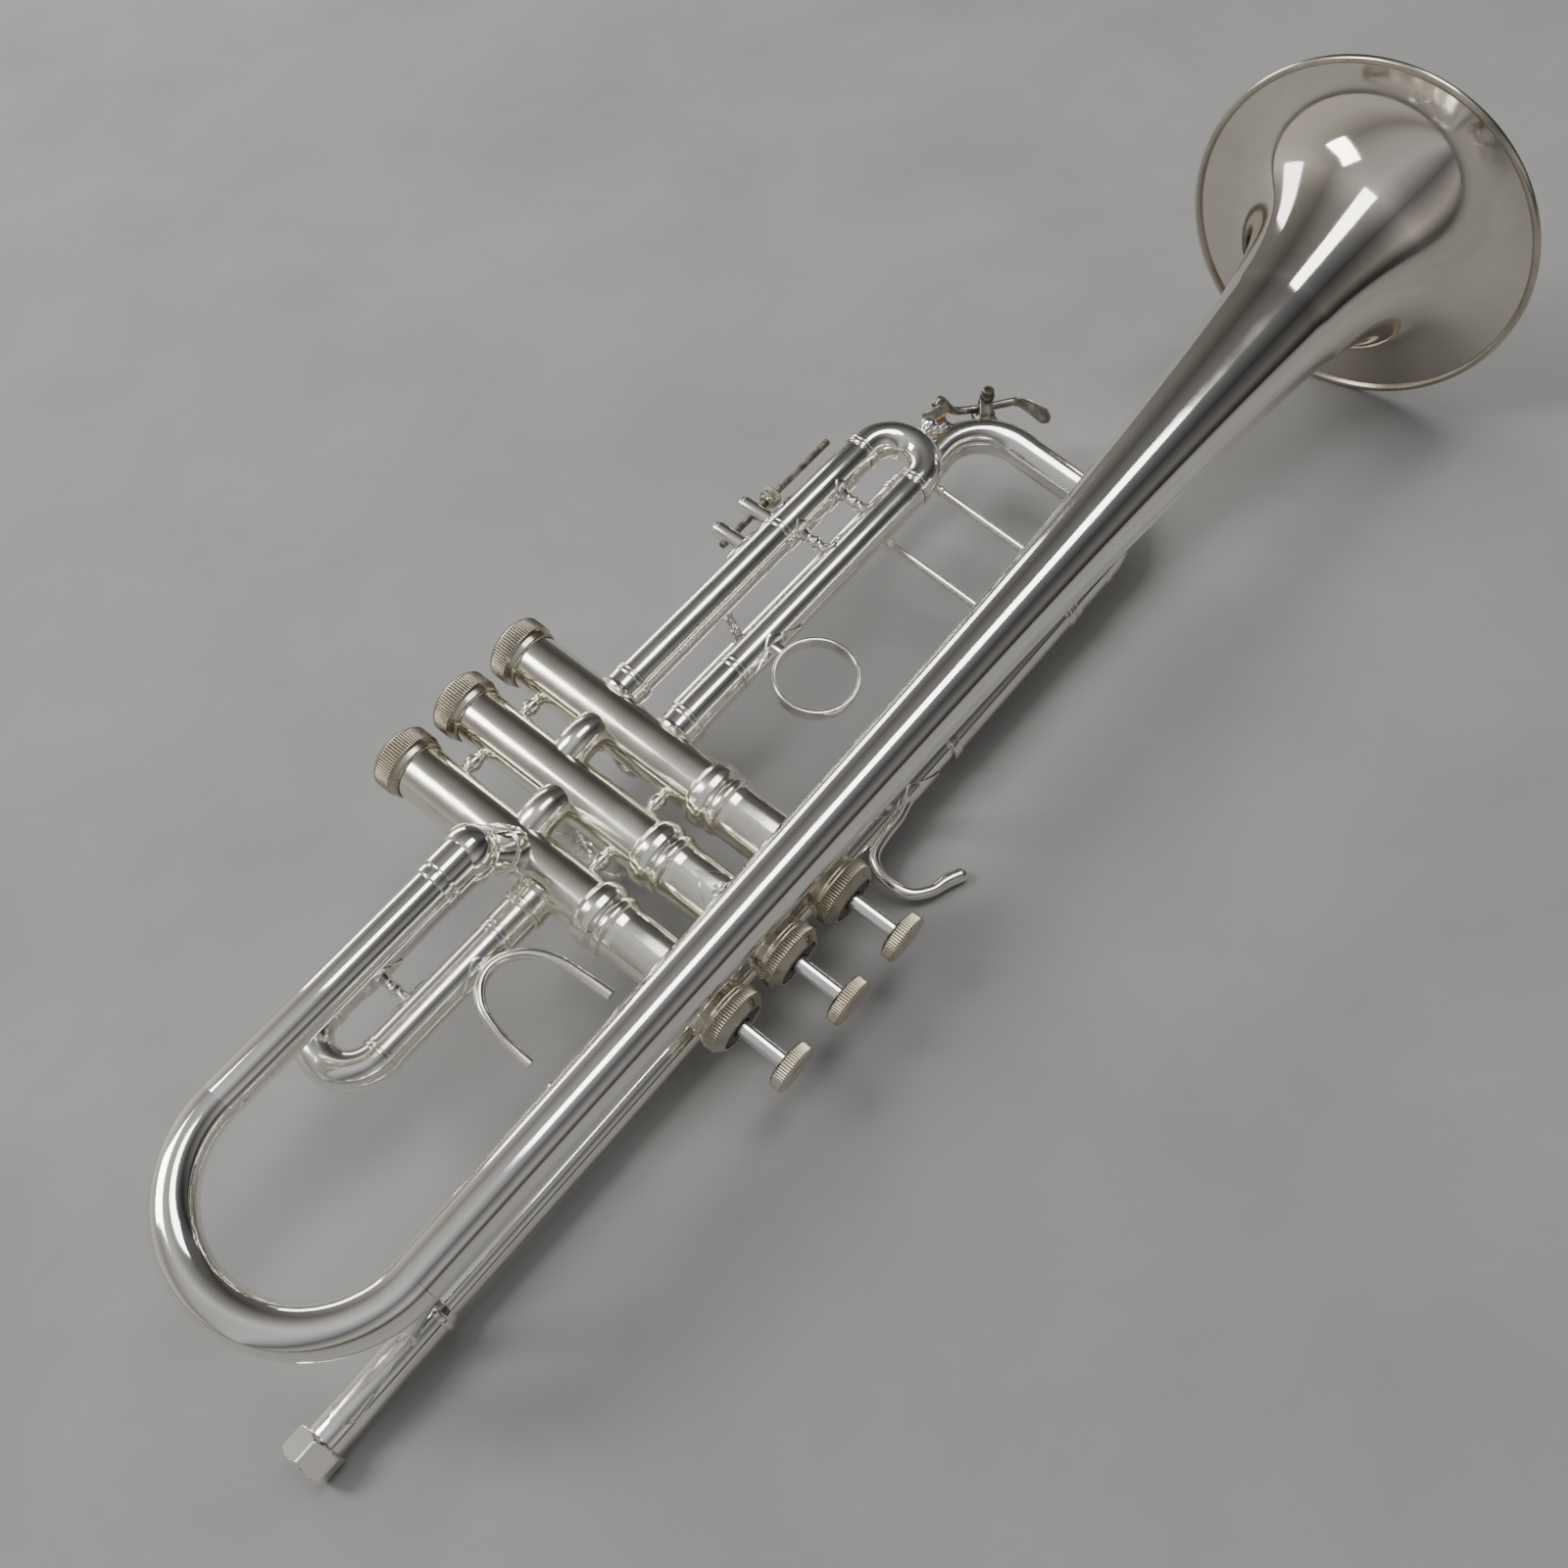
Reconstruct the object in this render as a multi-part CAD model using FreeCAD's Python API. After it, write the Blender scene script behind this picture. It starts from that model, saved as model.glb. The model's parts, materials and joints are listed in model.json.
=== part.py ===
import FreeCAD, Part
import math
import os

# A long-model B-flat cornet, resting on its right side on a flat surface.
# Everything is drawn in the instrument's playing frame: x forward along the
# bell, y to the player's left, z up towards the finger buttons, with the
# origin on the second valve's axis.  At the end each piece is laid down on
# its right side, so that +Z of the finished part points up from the surface.

V = FreeCAD.Vector
X = V(1, 0, 0)
Y = V(0, 1, 0)
Z = V(0, 0, 1)

# ---- driving dimensions, millimetres -------------------------------------
SPACING = 25.4            # between neighbouring valve axes
CASING_R = 9.1            # valve casing, outside
BORE_R = 8.28             # valve casing, inside
PISTON_R = 8.25           # running fit in the bore
CASING_BOTTOM = -92.0
CASING_TOP = 36.5
CAP_R = 10.9              # knurled edge of the top and bottom caps
CAP_GAP = 0.1             # running clearance of a cap's thread on its casing
BELL_Y = 26.5             # bell plane, left of the valves
BELL_Z = 27.6             # bell axis above the origin
BOW_R = 35.3              # bend of the bell bow
BOW_X = -133.9            # centre of the bell bow
TAIL_Z = BELL_Z - 2 * BOW_R
TAIL_R = 6.0              # bell tail, outside
BOW_END_R = 7.6           # bow where it meets the bell
FLARE_X = 262.0           # the flare's steep part starts here
BELL_TUBE = [(BOW_X, BOW_END_R), (-60.0, 8.3), (0.0, 9.0), (60.0, 9.75), (110.0, 10.7),
             (150.0, 11.9), (187.0, 13.8), (215.0, 15.75), (240.0, 17.7), (FLARE_X, 20.0)]
BELL_END_R = 60.3         # bell rim, outside
BELL_END_X = 317.0
WALL = 0.5                # tube wall
SLEEVE_R = 6.35           # fixed outer slide tubes
LEG_R = 5.8               # inner slide legs
LEG_GAP = 0.04            # running clearance of a slide leg
MOVING_R = 6.1            # visible moving slide tube
LEAD_Y = -26.0            # leadpipe and upper leg of the main slide
LEAD_Z = 25.4
MAIN_LOW_Y = -21.0        # lower leg of the main tuning slide
MAIN_LOW_Z = -44.0
MAIN_CORNER_R = 20.0
MAIN_REAR_R = 8.5         # bend out of valve 3
MAIN_APEX_X = 209.5
MAIN_JOINT_X = 164.4      # end of the fixed outer tubes
SLIDE_PITCH = 22.2        # between the legs of valve slides
SLIDE3_LOW_Z = -56.0
SLIDE3_HIGH_Z = SLIDE3_LOW_Z + SLIDE_PITCH
SLIDE1_HIGH_Z = -29.5
SLIDE1_LOW_Z = SLIDE1_HIGH_Z - SLIDE_PITCH
RECEIVER_END_X = -189.0   # mouth of the mouthpiece receiver
RECEIVER_RING_X = -138.2
MOUTH_R = 4.9             # straight lead-in of the receiver
MOUTH_LENGTH = 6.0
REST_TILT = 15.43         # roll about the bell axis when lying down, degrees
REST_PITCH = -0.22

KNUCKLE_12_Z = -44.5      # crossover tubes between the casings
KNUCKLE_23_Z = -52.5
KNUCKLE_REACH = 9.5
KNUCKLE_END_Y = -2.0
KNUCKLE_PEAK_Y = 4.4
STRUT_Z = (-74.0, -22.5)  # posts between the casings
FELT_LOW = 41.0           # felt disc in the top cap
FELT_HIGH = 42.2
STEM_R = 2.5
STEM_TOP = 57.3           # underside of the finger button, valve up
FIXED_BRACE_X = 147.0     # brace between the fixed main slide tubes
SLIDE_BRACE_X = 176.0     # brace on the moving crook
LINK_BRACE_X = 81.0       # brace from slide 3 to the main slide
SLIDE1_BRACE_X = -80.0
SLIDE3_BRACE_X = (117.5, 138.3)
HOOK_PLATE_X = 76.0
SPECK_VOLUME = 0.01
BITE = 0.25                # how far a soldered ring is let into its tube
SPRING_LOW = -91.3
SPRING_HIGH = -75.6

VALVE_X = (-SPACING, 0.0, SPACING)

os.makedirs("parts", exist_ok=True)
pieces = {}


# ---- shape helpers ---------------------------------------------------------
def rod(start, end, radius):
    """Solid cylinder between two points."""
    axis = end - start
    return Part.makeCylinder(radius, axis.Length, start, axis)


def pipe_piece(start, end, outer, inner):
    """Straight hollow tube between two points."""
    return rod(start, end, outer).cut(rod(start, end, inner))


def cone(start, end, r_start, r_end):
    axis = end - start
    return Part.makeCone(r_start, r_end, axis.Length, start, axis)


def turned(profile, origin, axis):
    """Solid of revolution: profile is a list of (distance along, radius)."""
    helper = Y if abs(axis.y) < 0.9 else X
    side = axis.cross(helper).normalize()
    points = [origin + axis * along + side * radius for along, radius in profile]
    wire = Part.makePolygon(points + [points[0]])
    return Part.Face(wire).revolve(origin, axis, 360)


def fuse(shapes):
    result = shapes[0]
    for shape in shapes[1:]:
        result = result.fuse(shape)
    return result.removeSplitter()


def bent_rod(points, bend, radius):
    """Round bar along a polyline whose corners are rounded by `bend`."""
    parts = []
    start = points[0]
    for i in range(1, len(points) - 1):
        before = (points[i] - points[i - 1]).normalize()
        after = (points[i + 1] - points[i]).normalize()
        angle = before.getAngle(after)
        setback = bend * math.tan(angle / 2)
        entry = points[i] - before * setback
        leave = points[i] + after * setback
        if (entry - start).Length > 1e-4:
            parts.append(rod(start, entry, radius))
        axis = before.cross(after).normalize()
        inward = axis.cross(before).normalize()
        centre = entry + inward * bend
        disc = Part.Face(Part.Wire(Part.makeCircle(radius, entry, before)))
        parts.append(disc.revolve(centre, axis, math.degrees(angle)))
        start = leave
    if (points[-1] - start).Length > 1e-4:
        parts.append(rod(start, points[-1], radius))
    return fuse(parts)


def bent_tube(points, bend, outer, inner):
    return bent_rod(points, bend, outer).cut(bent_rod(points, bend, inner))


def lofted(stations, inset=0.0):
    """Smooth solid through (centre, direction, radius) stations."""
    wires = []
    for centre, direction, radius in stations:
        wires.append(Part.Wire(Part.makeCircle(radius - inset, centre, direction)))
    return Part.makeLoft(wires, True, False)


def ring_on(start, axis, length, inner, outer):
    """Soldered ferrule ring with chamfered ends, round a tube."""
    ease = min(0.35 * (outer - inner), 0.3 * length)
    profile = [(0, inner), (0, outer - ease), (ease, outer),
               (length - ease, outer), (length, outer - ease), (length, inner)]
    return turned(profile, start, axis)


def diamond(centre, normal, long_axis, long_half, short_half, tube_axis_point,
            tube_axis, tube_r, thickness=0.7, widest=0.0):
    """Thin diamond flange wrapped on a tube of radius tube_r.

    widest moves the wide corners along the long axis, which makes a kite."""
    across = normal.cross(long_axis).normalize()
    waist = centre + long_axis * widest
    tips = [centre + long_axis * long_half, waist + across * short_half,
            centre - long_axis * long_half, waist - across * short_half]
    base = [p - normal * 2 * short_half for p in tips]
    prism = Part.Face(Part.makePolygon(base + [base[0]]))
    prism = prism.extrude(normal * 4 * short_half)
    reach = tube_axis * 100
    shell = pipe_piece(tube_axis_point - reach, tube_axis_point + reach,
                       tube_r + thickness, tube_r)
    half = Part.makeCylinder(tube_r + 3, 4 * long_half + 60,
                             tube_axis_point - tube_axis * (2 * long_half + 30)
                             + normal * (tube_r + 3), tube_axis)
    return prism.common(shell).common(half)


# ---- valves ------------------------------------------------------------------
def casing_body(x):
    return rod(V(x, 0, CASING_BOTTOM), V(x, 0, CASING_TOP), CASING_R)


def valve_casing(x):
    outline = [(CASING_BOTTOM, BORE_R), (CASING_BOTTOM, CASING_R),
               (-15.2, CASING_R), (-14.6, 9.9), (-13.4, 10.6), (-11.0, 10.9),
               (-8.8, 10.6), (-7.6, 9.8), (-7.0, 9.5), (-6.4, 10.1), (-5.2, 10.3),
               (-4.2, 10.1), (-3.6, 9.4), (-1.0, CASING_R), (CASING_TOP, CASING_R),
               (CASING_TOP, BORE_R)]
    return turned(outline, V(x, 0, 0), Z)


def bottom_cap(x):
    outline = [(-95.0, 0), (-95.0, 3.0), (-94.4, 4.5), (-94.4, 9.2), (-93.4, 10.3),
               (-92.6, CAP_R), (-87.2, CAP_R), (-86.4, 10.3), (-84.6, 10.0),
               (-84.0, CASING_R + CAP_GAP), (CASING_BOTTOM - CAP_GAP, CASING_R + CAP_GAP),
               (CASING_BOTTOM - CAP_GAP, 0)]
    return turned(outline, V(x, 0, 0), Z)


def top_cap(x):
    outline = [(32.2, CASING_R + CAP_GAP), (32.5, 9.7), (35.0, 9.7), (35.3, 10.2),
               (36.3, 10.3), (36.7, CAP_R), (40.1, CAP_R), (40.5, 10.5), (42.6, 8.2), (42.6, 7.5),
               (FELT_LOW, 7.4), (FELT_LOW, 3.2), (38.6, 3.2), (38.6, 6.6),
               (CASING_TOP + CAP_GAP, 6.6), (CASING_TOP + CAP_GAP, CASING_R + CAP_GAP)]
    return turned(outline, V(x, 0, 0), Z)


def top_felt(x):
    return pipe_piece(V(x, 0, FELT_LOW), V(x, 0, FELT_HIGH), 7.2, 3.3)


def piston(x):
    top = -22.0
    bottom = -75.0
    body = rod(V(x, 0, bottom), V(x, 0, top), PISTON_R)
    spring_room = rod(V(x, 0, top - 1.0), V(x, 0, top + 0.01), 5.0)
    body = body.cut(spring_room)
    for port_z, angle in ((-33.0, 0), (-45.0, 60), (-57.0, 120), (-67.0, 30)):
        turn = math.radians(angle)
        reach = V(math.cos(turn), math.sin(turn), 0) * (PISTON_R + 1)
        centre = V(x, 0, port_z)
        body = body.cut(rod(centre - reach, centre + reach, 3.6))
    return body


def valve_stem(x):
    outline = [(-22.9, 0), (-22.9, 4.6), (12.0, 4.6), (13.0, STEM_R), (STEM_TOP, STEM_R),
               (STEM_TOP, 0)]
    return turned(outline, V(x, 0, 0), Z)


def valve_spring(x):
    """Sleeve the size of the coil between the piston and the bottom cap."""
    return pipe_piece(V(x, 0, SPRING_LOW), V(x, 0, SPRING_HIGH), 5.7, 4.7)


def finger_button(x):
    outline = [(STEM_TOP, 0), (STEM_TOP, 3.6), (57.8, 6.6), (58.6, 7.9), (61.8, 7.9),
               (62.4, 7.3), (62.4, 5.6), (61.9, 3.0), (61.7, 0)]
    return turned(outline, V(x, 0, 0), Z)


def knuckle(x, z):
    """Crossover tube that bulges out between two neighbouring casings."""
    start = V(x - KNUCKLE_REACH, KNUCKLE_END_Y, z)
    end = V(x + KNUCKLE_REACH, KNUCKLE_END_Y, z)
    bow = Part.Arc(start, V(x, KNUCKLE_PEAK_Y, z), end)
    disc = Part.Wire(Part.makeCircle(MOVING_R, start, bow.tangent(bow.FirstParameter)[0]))
    body = Part.Wire([bow.toShape()]).makePipeShell([disc], True, False)
    for side in (-1, 1):
        body = body.cut(casing_body(x + side * SPACING / 2))
    return body


def casing_struts():
    shapes = []
    for x in (-SPACING / 2, SPACING / 2):
        for z in STRUT_Z:
            half = SPACING / 2
            bar = rod(V(x - half, 0, z), V(x + half, 0, z), 1.9)
            bead = Part.makeSphere(2.6, V(x, 0, z))
            strut = bar.fuse(bead)
            for side in (-1, 1):
                foot = cone(V(x + side * 3.4, 0, z), V(x + side * 4.6, 0, z), 1.9, 3.2)
                strut = strut.fuse(foot)
                strut = strut.cut(casing_body(x + side * SPACING / 2))
            shapes.append(strut.removeSplitter())
    return Part.makeCompound(shapes)


# ---- bell --------------------------------------------------------------------
def bell_radius(x):
    """Outside radius of the bell along its axis."""
    if x > FLARE_X:
        horn_end = BELL_END_X + 3.0
        return BELL_TUBE[-1][1] * ((horn_end - FLARE_X) / (horn_end - x)) ** 0.384
    for (x0, r0), (x1, r1) in zip(BELL_TUBE, BELL_TUBE[1:]):
        if x <= x1:
            return r0 + (r1 - r0) * (x - x0) / (x1 - x0)


def bell():
    stations = [x for x, r in BELL_TUBE] + [275, 286, 295, 302, 307.5, 311.5, 314.5, 316.4]
    outer = [V(x, bell_radius(x), 0) for x in stations]
    inner = [V(x, bell_radius(x) - WALL, 0) for x in stations]
    outer_edge = Part.BSplineCurve()
    outer_edge.interpolate(outer)
    inner_edge = Part.BSplineCurve()
    inner_edge.interpolate(inner)
    edges = [outer_edge.toShape(), Part.makeLine(outer[-1], inner[-1]),
             inner_edge.toShape(), Part.makeLine(inner[0], outer[0])]
    face = Part.Face(Part.Wire(Part.__sortEdges__(edges)))
    body = face.revolve(V(0, 0, 0), X, 360)
    body.translate(V(0, BELL_Y, BELL_Z))
    return body


def bell_rim():
    """Rolled wire rim."""
    wire_r = 1.25
    centre = V(BELL_END_X - 0.6, BELL_Y, BELL_Z)
    rim = Part.makeTorus(BELL_END_R - wire_r, wire_r, centre, X)
    return rim.cut(pieces["bell"])


def bell_bow():
    def stations():
        result = []
        steps = 12
        for i in range(steps + 1):
            part = i / steps
            angle = math.pi * part
            direction = V(-math.cos(angle), 0, -math.sin(angle))
            offset = V(-math.sin(angle), 0, math.cos(angle)) * BOW_R
            centre = V(BOW_X, BELL_Y, BELL_Z - BOW_R) + offset
            radius = BOW_END_R + (TAIL_R - BOW_END_R) * part
            result.append((centre, direction, radius))
        return result
    return lofted(stations()).cut(lofted(stations(), WALL))


ELBOW_CORNER = V(-40.5, BELL_Y, TAIL_Z)
ELBOW_TARGET = V(-SPACING, 0, TAIL_Z)
TAIL_END_X = -52.0


def bell_tail():
    start = V(BOW_X, BELL_Y, TAIL_Z)
    return pipe_piece(start, V(TAIL_END_X, BELL_Y, TAIL_Z), TAIL_R, TAIL_R - WALL)


def tail_ferrule():
    return ring_on(V(TAIL_END_X - 1.0, BELL_Y, TAIL_Z), X * -1, 3.0, TAIL_R, 6.7)


def tail_elbow():
    start = V(TAIL_END_X, BELL_Y, TAIL_Z)
    route = [start, ELBOW_CORNER, ELBOW_TARGET]
    outer = bent_rod(route, 8.0, 6.9).fuse(Part.makeSphere(8.3, V(-41.6, 25.2, TAIL_Z)))
    inner = bent_rod(route, 8.0, 5.5)
    elbow = outer.cut(inner).cut(casing_body(-SPACING))
    return elbow.cut(knuckle(-SPACING / 2, KNUCKLE_12_Z)).removeSplitter()


def elbow_ferrule():
    """Ring where the tail elbow meets the first casing."""
    way = (ELBOW_TARGET - ELBOW_CORNER).normalize()
    start = ELBOW_TARGET - way * 15.5
    ring = ring_on(start, way, 9.5, 6.9, 7.7)
    ring = ring.cut(casing_body(-SPACING))
    return ring.cut(knuckle(-SPACING / 2, KNUCKLE_12_Z))


# ---- leadpipe and receiver ---------------------------------------------------
LEAD_REAR_X = RECEIVER_RING_X - 2.0
LEAD_FRONT_X = 96.0


def on_lead(x):
    return V(x, LEAD_Y, LEAD_Z)


def leadpipe():
    outer = cone(on_lead(LEAD_REAR_X), on_lead(LEAD_FRONT_X), 4.75, 5.5)
    inner = cone(on_lead(LEAD_REAR_X), on_lead(LEAD_FRONT_X), 4.25, 5.0)
    front = rod(on_lead(LEAD_FRONT_X), on_lead(LEAD_FRONT_X + 14), 5.5)
    front_bore = rod(on_lead(LEAD_FRONT_X), on_lead(LEAD_FRONT_X + 14), 5.0)
    return outer.fuse(front).cut(inner.fuse(front_bore)).removeSplitter()


def receiver():
    """Mouthpiece receiver: straight lead-in, then the shank taper."""
    start = on_lead(RECEIVER_END_X)
    end = on_lead(RECEIVER_RING_X)
    body = rod(start, end, 6.0)
    body = body.cut(rod(start, start + X * MOUTH_LENGTH, MOUTH_R))
    taper_end = on_lead(LEAD_REAR_X)
    body = body.cut(cone(start + X * MOUTH_LENGTH, taper_end, MOUTH_R, 4.25))
    return body.cut(rod(taper_end, end, 4.78))


def receiver_collar():
    """Collar with flats round it, one of them turned a little above sideways."""
    flats = 6
    across_flats = 14.2
    start = on_lead(RECEIVER_END_X)
    collar = ring_on(start, X, 9.0, 6.0, 8.0)
    corners = []
    for i in range(flats + 1):
        angle = math.radians(360.0 / flats * i)
        reach = across_flats / 2 / math.cos(math.pi / flats)
        corners.append(start + V(-1, reach * math.cos(angle), reach * math.sin(angle)))
    prism = Part.Face(Part.makePolygon(corners)).extrude(X * 11)
    return collar.common(prism)


def receiver_ring():
    outline = [(0, 4.85), (0, 6.4), (0.6, 6.7), (1.8, 6.7), (2.4, 6.1), (4.2, 5.3),
               (4.6, 4.85)]
    return turned(outline, on_lead(RECEIVER_RING_X + 0.01), X)


# ---- slides ------------------------------------------------------------------
def sleeve(start, end, bore=LEG_R + LEG_GAP):
    return pipe_piece(start, end, SLEEVE_R, bore)


def u_rod(centre, radius, outward, across, leg_length, tube_r):
    """Solid round bar bent into a U that bulges outward, swept in one piece."""
    start = centre - across * radius
    end = centre + across * radius
    bend = Part.Arc(start, centre + outward * radius, end).toShape()
    first = Part.makeLine(start - outward * leg_length, start)
    last = Part.makeLine(end, end - outward * leg_length)
    path = Part.Wire([first, bend, last])
    disc = Part.Wire(Part.makeCircle(tube_r, start - outward * leg_length, outward))
    return path.makePipeShell([disc], True, False)


def u_tube(centre, radius, outward, across, length, leg_length, leg_r):
    """Hollow U: a bend, two visible tubes of `length`, then thinner inner legs."""
    body = u_rod(centre, radius, outward, across, length, MOVING_R)
    for side in (-radius, radius):
        shoulder = centre + across * side - outward * length
        body = body.fuse(rod(shoulder - outward * leg_length, shoulder + outward, leg_r))
    bore = u_rod(centre, radius, outward, across, length + leg_length, leg_r - WALL)
    return body.cut(bore)


def knob(base, direction, ball=3.6):
    profile = [(0, 0), (0, 2.2), (1.6, 1.7), (2.6, 2.2), (3.4, ball - 0.3),
               (4.6, ball), (6.0, ball - 0.4), (7.0, 2.2), (7.3, 0)]
    return turned(profile, base, direction)


# third slide, forward of valve 3
S3_ROOT_X = SPACING
S3_FIXED_LOW_END = 110.6
S3_FIXED_HIGH_END = 60.7
S3_CROOK_X = 158.0
S3_FERRULE_X = 153.6
S3_JOINT_X = 154.0
S3_SMALL_LEG_R = LEG_R - WALL - LEG_GAP
S3_MID_Z = (SLIDE3_LOW_Z + SLIDE3_HIGH_Z) / 2


def slide3_fixed(z, end_x):
    body = sleeve(V(S3_ROOT_X, 0, z), V(end_x, 0, z))
    root = rod(V(S3_ROOT_X, 0, z), V(S3_ROOT_X + 13, 0, z), 6.9)
    bead = ring_on(V(S3_ROOT_X + 12.5, 0, z), X, 3.0, SLEEVE_R - BITE, 7.3)
    root = root.cut(rod(V(S3_ROOT_X - 1, 0, z), V(S3_ROOT_X + 14, 0, z), LEG_R))
    body = body.fuse(root).fuse(bead)
    return body.cut(casing_body(SPACING)).removeSplitter()


def slide3_leg(z, joint_x):
    inside = min(52.0, joint_x - S3_ROOT_X - 16.0)
    shoulder = V(joint_x + 0.4, 0, z)
    leg = rod(V(joint_x - inside, 0, z), shoulder, LEG_R)
    tube = rod(shoulder, V(S3_FERRULE_X, 0, z), MOVING_R)
    bore = rod(V(joint_x - inside, 0, z), V(S3_FERRULE_X, 0, z), LEG_R - WALL)
    collar = ring_on(shoulder + X * 0.2, X, 3.2, MOVING_R - BITE, 6.45)
    return fuse([leg, tube]).cut(bore).fuse(collar).removeSplitter()


def slide3_crook():
    centre = V(S3_CROOK_X, 0, S3_MID_Z)
    crook = u_tube(centre, SLIDE_PITCH / 2, X, Z * -1, S3_CROOK_X - S3_JOINT_X, 16.0,
                   S3_SMALL_LEG_R)
    for z in (SLIDE3_LOW_Z, SLIDE3_HIGH_Z):
        collar = ring_on(V(S3_JOINT_X + 0.6, 0, z), X, 2.6, MOVING_R - BITE, 6.6)
        crook = crook.fuse(collar)
    return crook.fuse(slide3_knob())


def slide3_knob():
    base = V(S3_CROOK_X + SLIDE_PITCH / 2 + MOVING_R, 0, S3_MID_Z)
    solid = u_rod(V(S3_CROOK_X, 0, S3_MID_Z), SLIDE_PITCH / 2, X, Z * -1, 2.0, MOVING_R)
    return knob(base - X * 0.8, X, 3.7).cut(solid)


def cross_brace(start, end, bar_r, foot_r, tubes):
    """Turned post with flared feet and a centre bead, between two tubes."""
    way = (end - start).normalize()
    length = (end - start).Length
    middle = length / 2
    profile = [(0, 0), (0, foot_r), (1.2, foot_r * 0.8), (2.6, bar_r),
               (middle - 1.2, bar_r), (middle, bar_r * 1.45), (middle + 1.2, bar_r),
               (length - 2.6, bar_r), (length - 1.2, foot_r * 0.8),
               (length, foot_r), (length, 0)]
    post = turned(profile, start, way)
    for tube in tubes:
        post = post.cut(tube)
    return post


def slide3_braces():
    shapes = []
    low = V(0, 0, SLIDE3_LOW_Z)
    high = V(0, 0, SLIDE3_HIGH_Z)
    tubes = [rod(low, low + X * 200, MOVING_R), rod(high, high + X * 200, MOVING_R)]
    for x in SLIDE3_BRACE_X:
        post = cross_brace(V(x, 0, SLIDE3_LOW_Z + MOVING_R - 0.6),
                           V(x, 0, SLIDE3_HIGH_Z - MOVING_R + 0.6), 1.7, 3.0, tubes)
        plates = [diamond(V(x, 0, SLIDE3_LOW_Z + MOVING_R), Z, X, 9.0, 5.6, low, X,
                          MOVING_R),
                  diamond(V(x, 0, SLIDE3_HIGH_Z - MOVING_R), Z * -1, X, 9.0, 5.6,
                          high, X, MOVING_R)]
        shapes.append(fuse([post] + plates))
    return Part.makeCompound(shapes)


RING_CENTRE = V(75.0, 4.5, -11.2)
RING_R = 13.8


def finger_ring():
    strip = pipe_piece(RING_CENTRE - Y * 2.3, RING_CENTRE + Y * 2.3, RING_R,
                       RING_R - 1.3)
    foot = Part.makeBox(5.0, 3.0, 4.2, RING_CENTRE + V(-1.0, -1.5, -RING_R - 3.6))
    high = V(0, 0, SLIDE3_HIGH_Z)
    plate = diamond(V(77, 0, SLIDE3_HIGH_Z + MOVING_R), (Z + Y * 0.35).normalize(), X,
                    12.0, 5.0, high, X, MOVING_R)
    ring = strip.fuse(foot).fuse(plate)
    tube = rod(high, high + X * 200, MOVING_R)
    hole = rod(RING_CENTRE - Y * 5, RING_CENTRE + Y * 5, RING_R - 1.3)
    return ring.cut(tube).cut(hole).removeSplitter()


ROD_Z = -67.6
ROD_R = 1.25
POST_FIXED_X = 101.2
POST_MOVING_X = 114.4
NUT_X = 119.2


def stop_post(x):
    """Boss on the lower leg, across the stop rod."""
    base_z = SLIDE3_LOW_Z
    boss = rod(V(x, 0, base_z), V(x, 0, ROD_Z - 5.2), 2.9)
    cap = rod(V(x, 0, ROD_Z - 5.2), V(x, 0, ROD_Z - 6.2), 2.3)
    return boss.fuse(cap)


def fixed_post():
    low = V(0, 0, SLIDE3_LOW_Z)
    plate = diamond(V(POST_FIXED_X, 0, SLIDE3_LOW_Z - SLEEVE_R), Z * -1, X, 7.5, 4.6,
                    low, X, SLEEVE_R)
    post = stop_post(POST_FIXED_X).cut(rod(low, low + X * 200, SLEEVE_R)).fuse(plate)
    hole = rod(V(POST_FIXED_X - 5, 0, ROD_Z), V(POST_FIXED_X + 5, 0, ROD_Z), ROD_R)
    return post.cut(hole).removeSplitter()


def moving_post():
    low = V(0, 0, SLIDE3_LOW_Z)
    plate = diamond(V(POST_MOVING_X + 6, 0, SLIDE3_LOW_Z - 6.45), Z * -1, X, 9.0, 4.6,
                    low, X, 6.45)
    tube = rod(low, low + X * 200, 6.45)
    post = stop_post(POST_MOVING_X).cut(tube).fuse(plate)
    hole = rod(V(POST_MOVING_X - 5, 0, ROD_Z), V(POST_MOVING_X + 5, 0, ROD_Z),
               ROD_R + 0.35)
    return post.cut(hole).removeSplitter()


def stop_rod():
    return rod(V(POST_FIXED_X - 4.2, 0, ROD_Z), V(152.5, 0, ROD_Z), ROD_R)


def stop_nut():
    profile = [(0, ROD_R + 0.05), (0, 2.4), (1.0, 2.4), (1.4, 3.4), (4.4, 3.4),
               (5.0, 2.8), (5.0, ROD_R + 0.05)]
    return turned(profile, V(NUT_X, 0, ROD_Z), X)


# first slide, behind valve 1
S1_JOINT_X = -47.9
S1_CROOK_X = -97.0
S1_MID_Z = (SLIDE1_HIGH_Z + SLIDE1_LOW_Z) / 2


def slide1_fixed(z):
    body = sleeve(V(-SPACING, 0, z), V(S1_JOINT_X, 0, z))
    root = rod(V(-SPACING, 0, z), V(-SPACING - 13, 0, z), 6.9)
    root = root.cut(rod(V(-SPACING, 0, z), V(-SPACING - 14, 0, z), LEG_R))
    bead = ring_on(V(-SPACING - 12, 0, z), X * -1, 3.0, SLEEVE_R - BITE, 7.3)
    body = body.fuse(root).fuse(bead).cut(casing_body(-SPACING))
    for solid in pieces["tail_elbow"].Solids:
        body = body.cut(solid)
    return body.removeSplitter()


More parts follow.
